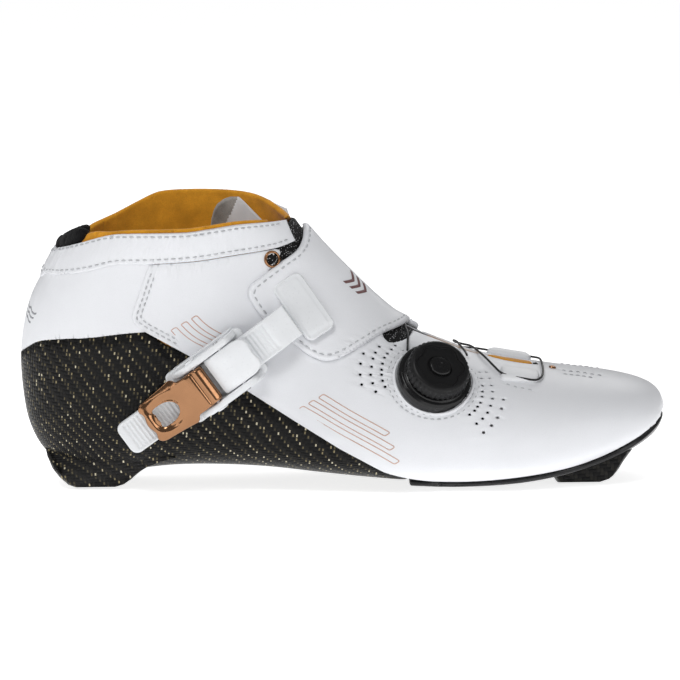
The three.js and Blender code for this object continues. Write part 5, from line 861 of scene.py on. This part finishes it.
dwin = np.array([[17.6,-4.3],[19.6,-4.5],[22,-4.5],[24,-4.1],[25.6,-3.4],[27.0,-2.0],[27.7,0],[27.0,2.0],[25.6,3.4],[24,4.1],[22,4.5],[19.6,4.5],[17.6,4.3],[16.9,3.2],[17.6,1.7],[17.2,0],[17.6,-1.7],[16.9,-3.2]])
def lever_top(q):
    z = np.interp(q[:, 0], LT[:, 0], LT[:, 1]); d = np.hypot((q[:, 0]-22.2)/1.25, q[:, 1]); z = z-1.15*np.exp(-((d-5.2)/1.5)**2)*(q[:, 0] < 34)
    z = z+.75*np.exp(-((q[:, 0]-14.6)/1.5)**2)*(np.cos(q[:, 1]*math.pi/6.4)*.5+.5)+.35*np.exp(-((q[:, 0]-14.0)/1.3)**2)
    z = z-.75*np.exp(-((q[:, 0]-39.6)/.55)**2)*(np.abs(q[:, 1]) < 7.9)+.25*np.exp(-((q[:, 0]-41.3)/.7)**2); z = z-.8*np.clip((np.abs(q[:, 1])-7.0)/3.2, 0, 1)**2-1.15*(q[:, 1]/9.5)**2*np.clip((37-q[:, 0])/8, .25, 1); return z
def lever_bot(q): return np.minimum(np.interp(q[:, 0], LB[:, 0], LB[:, 1]), lever_top(q)-.9)
lever = plate("buckle_lever_v", fillet(leverPlan, 1.6, 5), lever_top, lever_bot, .75, holes=[fillet(dwin, .9, 3)], step=.55, resample=.45, edge=.12); dress(lever, M_GOLD, "lever", ["buckle_lever"])
pawl = plate("drive_pawl_v", rr(37.8, -4.8, 43.4, 4.8, .8), lambda q: 9.1-.0*q[:, 0], lambda q: 6.0+np.abs(q[:, 0]-38.4)*.25, .4, step=.8); dress(pawl, M_STEEL, "lever", ["drive_pawl"])
RT = np.array([[46.4,9.5],[47.4,10.1],[50,11.0],[54.5,11.25],[58,11.0],[62,10.85],[64.6,10.8],[65.5,10.3]]); RB = np.array([[46.4,8.8],[50.2,7.4],[52,6.6],[57,6.6],[64.2,8.8],[65.6,9.5]])
rel_plan = np.array([[46.0,-8.2],[60,-8.2],[62.6,-7.7],[64.6,-6.2],[65.5,-4.0],[64.9,-1.5],[64.7,0],[64.9,1.5],[65.5,4.0],[64.6,6.2],[62.6,7.7],[60,8.2],[46.0,8.2]])
def rel_top(q): return np.interp(q[:, 0], RT[:, 0], RT[:, 1])-.9*(np.abs(q[:, 1])/8.2)**4+.0*q[:, 0]
release = plate("release_lever_v", fillet(rel_plan, .9, 4), rel_top, lambda q: np.minimum(np.interp(q[:, 0], RB[:, 0], RB[:, 1]), rel_top(q)-.8), .6, step=1.0); dress(release, M_WPLASTIC, "release", ["release_lever"])
# ladder
def lad_mid(a): return np.interp(a, [0, 66, 70, 76, 80, 84, 88.6], [3.0, 3.0, 2.8, 1.75, .65, -.7, -2.4])
def lad_top(q):
    a, v = q[:, 0], np.abs(q[:, 1]); rail = np.clip((v-5.7)/.35, 0, 1); base = lad_mid(a)+1.45; ph = (a-4) % 1.75; tooth = .62*np.clip(1-np.abs(ph-.8)/.62, 0, 1)**.6; on = np.clip((a-3.2)/.3, 0, 1)*np.clip((75-a)/.3, 0, 1)
    return base-.35*np.clip((a-78)/4, 0, 1)+on*((1-rail)*(tooth-.25)+rail*.55)+(1-on)*.45
ladder = plate("ladder_strap_v", np.concatenate([rr(0.2, -7.3, 40, 7.3, 3.4, 8)[12:], ])[:0] if False else np.array([[84.8,-7.3],[84.8,7.3]]+[[.2+3.4-3.4*math.sin(t), 7.3-3.4+3.4*math.cos(t)] for t in np.linspace(0, math.pi/2, 8)]+[[.2+3.4-3.4*math.cos(t), -7.3+3.4-3.4*math.sin(t)] for t in np.linspace(0, math.pi/2, 8)]), lad_top, lambda q: lad_mid(q[:, 0]), .5, step=.42, resample=.5, double=False, edge=.35)
dress(ladder, M_WPLASTIC, "ladder", ["ladder_strap"])
# anchor plate, lying on the strap
ac = on_form(np.array([16.42]), np.array([.755]), np.array([2.6]))[0]; an = fetch(FN, np.array([16.42]), np.array([.755]))[0]; an /= np.linalg.norm(an); ae1 = E1-an*(an@E1); ae1 /= np.linalg.norm(ae1); ae2 = np.cross(an, ae1)
if ae2@E2 < 0: ae2 = -ae2
A0 = (ac-BK0)@E1; V0 = (ac-BK0)@E2
def ap(a, v, h): return ac+np.outer(a-A0, ae1)+np.outer(v-V0, ae2)+np.outer(h, an)
def ap_top(q):
    x = (q[:, 0]-90.75)/6.9; y = (q[:, 1]-.85)/13.8; return 2.35+.55*np.sqrt(np.clip(1-x**2, 0, 1))*np.clip(1-y**6, 0, 1)-.45*np.exp(-((np.maximum(np.abs((q[:, 0]-90.75)/5.4), np.abs((q[:, 1]-.85)/12.3))-1)/.07)**2)
anchor = plate("anchor_plate_v", rr(83.8, -13, 97.7, 14.7, 3.2, 8), ap_top, .85, .7, frame=ap, step=.9, double=False, edge=.3); 
arm = plate("anchor_arm", rr(83.6, -7.3, 89.5, 7.3, .5, 5), 2.35, 1.2, .5, frame=ap, step=.9, double=False)
anchor = join("anchor_plate_v", [anchor, arm]); dress(anchor, M_WPLASTIC, "ladder", ["anchor_plate"])

# ------------------------------------------------------------------ lace guides and lace
slit_pad = panel("slit_suede", np.array([(9.30,.972),(9.05,.956),(8.7,.945),(8.3,.940),(7.96,.942),(7.88,.958),(7.95,.985),(8.6,.992),(9.1,.988)]), .42, -.7, roll=.6); dress(slit_pad, M_SUEDE)
# painted shadow: a near-black sheet at the end of the slit
slit_end = panel("slit_shadow", np.array([(7.9,.985),(7.86,.962),(7.9,.942),(7.80,.943),(7.70,.962),(7.74,.985)]), .25, -.7, roll=.4); dress(slit_end, M_DARK)
def guide(name, u0, u1, s0, s1, side, bulge, node, th=1.9, tab=0):
    cs = lambda s: s if side < 0 else 2-s
    o = rr(u0, s0, u1, s1, min(.02, (s1-s0)*.3), 5) if False else np.array([(u, s) for u, s in rr_uv(u0, u1, s0, s1)])
    us = np.array([(u, cs(s)) for u, s in o]); m = (u0+u1)/2; sm = cs((s0+s1)/2)
    def sh(q, d): return bulge*np.sqrt(np.clip(d/3.0, 0, 1))
    ob = panel(name, us, .9, -.02, roll=.7, shape=sh, offset=True); return dress(ob, M_FLAP, replaces=[node])
def rr_uv(u0, u1, s0, s1, n=6):
    out, ru, rs = [], min(.16, (u1-u0)*.3), min(.02, (s1-s0)*.3)
    for cu, cs_, a0 in ((u1-ru, s0+rs, -90), (u1-ru, s1-rs, 0), (u0+ru, s1-rs, 90), (u0+ru, s0+rs, 180)):
        for t in np.linspace(0, 90, n): a = math.radians(a0+t); out.append((cu+ru*math.cos(a), cs_+rs*math.sin(a)))
    return out
guide("lace_guide_lateral_v", 7.74, 8.92, .762, .855, -1, 1.25, "lace_guide_lateral")
guide("lace_guide_medial_front_v", 7.9, 9.3, .90, .966, 1, 2.1, "lace_guide_medial_front")
guide("lace_guide_medial_rear_v", 10.2, 11.5, .78, .87, 1, 1.2, "lace_guide_medial_rear")
ROUTE = [[12.1,.80,1.9,-1],[12.16,.84,1.2,-1],[12.26,.9,.75,-1],[12.45,.96,.3,-1],[12.55,.985,.3,1],[12.2,.93,.5,1],[11.65,.875,1.1,1],[11.1,.83,1.3,1],[10.6,.82,1.3,1],[10.1,.84,1.3,1],[9.7,.875,1.3,1],[9.3,.9,1.3,1],[8.8,.915,1.3,1],[8.3,.92,1.3,1],[7.95,.925,1.3,1],[7.74,.935,1.3,1],[7.65,.97,1.3,1],[7.62,.97,1.35,-1],[7.6,.9,1.3,-1],[7.6,.84,1.3,-1],[7.66,.79,1.3,-1],[7.84,.765,1.3,-1],[8.2,.77,1.3,-1],[8.6,.78,1.3,-1],[8.9,.795,1.3,-1],[9.15,.84,1.3,-1],[9.4,.9,1.3,-1],[9.65,.965,1.3,-1],[9.85,.96,1.3,1],[10.1,.91,1.3,1],[10.35,.9,1.3,1],[10.45,.94,1.3,1],[10.35,.985,1.4,1],[10.2,.95,1.4,-1],[10.05,.9,1.6,-1],[10.0,.868,2.0,-1]]
def tube(name, pts, r, mat, body="root", nodes=(), seg=10, step=.8, twist=0):
    P = np.array(pts, float); Q = [2*P[0]-P[1]]+list(P)+[2*P[-1]-P[-2]]; C = []
    for i in range(1, len(Q)-2):
        n = max(2, int(np.linalg.norm(Q[i+1]-Q[i])/step))
        for t in np.linspace(0, 1, n, endpoint=False): C.append(.5*((2*Q[i])+(-Q[i-1]+Q[i+1])*t+(2*Q[i-1]-5*Q[i]+4*Q[i+1]-Q[i+2])*t*t+(-Q[i-1]+3*Q[i]-3*Q[i+1]+Q[i+2])*t**3))
    C.append(Q[-2]); C = np.array(C); T = np.gradient(C, axis=0); T /= np.linalg.norm(T, axis=1, keepdims=True); up = np.cross(T[0], [0, .3, 1.0]); up /= np.linalg.norm(up); V, F = [], []
    for k in range(len(C)):
        up = up-T[k]*(up@T[k]); up /= np.linalg.norm(up); b = np.cross(T[k], up)
        for j in range(seg): a = 2*math.pi*j/seg; V.append(C[k]+(up*math.cos(a)+b*math.sin(a))*r)
    for k in range(len(C)-1):
        for j in range(seg): F.append((k*seg+j, k*seg+(j+1) % seg, (k+1)*seg+(j+1) % seg, (k+1)*seg+j))
    F += [tuple(range(seg))[::-1], tuple((len(C)-1)*seg+j for j in range(seg))]
    ob = new_object(name, to_m(V), F); bm = bmesh.new(); bm.from_mesh(ob.data); bmesh.ops.recalc_face_normals(bm, faces=bm.faces); bm.to_mesh(ob.data); bm.free(); return dress(ob, mat, body, nodes)
R_ = np.array(ROUTE); lace_pts = on_form(R_[:, 0], np.where(R_[:, 3] < 0, R_[:, 1], 2-R_[:, 1]), R_[:, 2])
lace = tube("lace_v", lace_pts, .46, M_LACE, nodes=["lace"])

# the strap, its stitches and chevrons: transforms baked into their meshes; b0 and b1 are a point on the strap and the
# anchor centre, in metres
b0, b1 = to_m(on_form(np.array([17.2]), np.array([.93]), np.array([2.]))[0]), to_m(ac)
for o in (strap, thread_strap, chevron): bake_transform(o)

# ------------------------------------------------------------------ stage
def stage_all():
    E = math.radians(8.0); D = 2000.0; tgt = np.array([0, 0, 57.6]); cam_p = tgt+D*np.array([0, -math.cos(E), math.sin(E)])
    cam = bpy.data.cameras.new("camera"); cam.sensor_width = 36; cam.lens = 36*D/282.2; cam.clip_start = .1; cam.clip_end = 20; co = bpy.data.objects.new("camera", cam); bpy.context.scene.collection.objects.link(co)
    fwd = Vector(tgt-cam_p).normalized(); right = fwd.cross(Vector((0, 0, 1))).normalized(); upv = right.cross(fwd); M = Matrix((right, upv, -fwd)).transposed().to_4x4()
    co.matrix_world = Matrix.Translation(Vector(to_m(cam_p))) @ M @ Matrix.Rotation(-.0124, 4, "Z"); bpy.context.scene.camera = co
    bm = bmesh.new(); bmesh.ops.create_grid(bm, x_segments=8, y_segments=8, size=6.0); me = bpy.data.meshes.new("floor"); bm.to_mesh(me); bm.free(); fl = bpy.data.objects.new("floor", me); bpy.context.scene.collection.objects.link(fl); fl.location = (0, 0, -.0004)
    m, nt, b = material("floor_paper"); N = Net(nt); n = N.noise(N.obj(), 3.0, 2.0); N.put(b.inputs["Base Color"], N.mix(n, (.93, .93, .93), (.95, .95, .95))); b.inputs["Roughness"].default_value = .9; b.inputs["Specular IOR Level"].default_value = .1
    em = b.inputs["Emission Color"]; em.default_value = (1, 1, 1, 1); b.inputs["Emission Strength"].default_value = .80; fl.data.materials.append(m)
    w = bpy.data.worlds.new("world"); bpy.context.scene.world = w; w.use_nodes = True; w.node_tree.nodes["Background"].inputs[0].default_value = (1, 1, 1, 1); w.node_tree.nodes["Background"].inputs[1].default_value = .20
    def area(name, loc, target, size, power, col=(1, 1, 1), sy=None):
        l = bpy.data.lights.new(name, "AREA"); l.energy = power; l.size = size; l.color = col
        if sy: l.shape = "RECTANGLE"; l.size_y = sy
        o = bpy.data.objects.new(name, l); bpy.context.scene.collection.objects.link(o); o.location = loc; o.rotation_euler = (Vector(target)-Vector(loc)).to_track_quat("-Z", "Y").to_euler(); return o
    area("key", (-.35, -.75, 1.15), (0, 0, .05), .5, 6.6); area("fill", (1.0, -.9, .5), (0, 0, .05), .45, 1.6); area("strip", (-.9, -.9, .35), (0, 0, .04), .14, .8, sy=.9); area("back", (.3, 1.0, .9), (0, 0, .06), .8, 3.6); area("heel", (-1.2, .3, .6), (0, 0, .06), .5, 1.4)
    vs = bpy.context.scene.view_settings; vs.view_transform = "Standard"; vs.look = "None"; vs.exposure = 0.0; vs.gamma = 1.0
stage_all()
import json
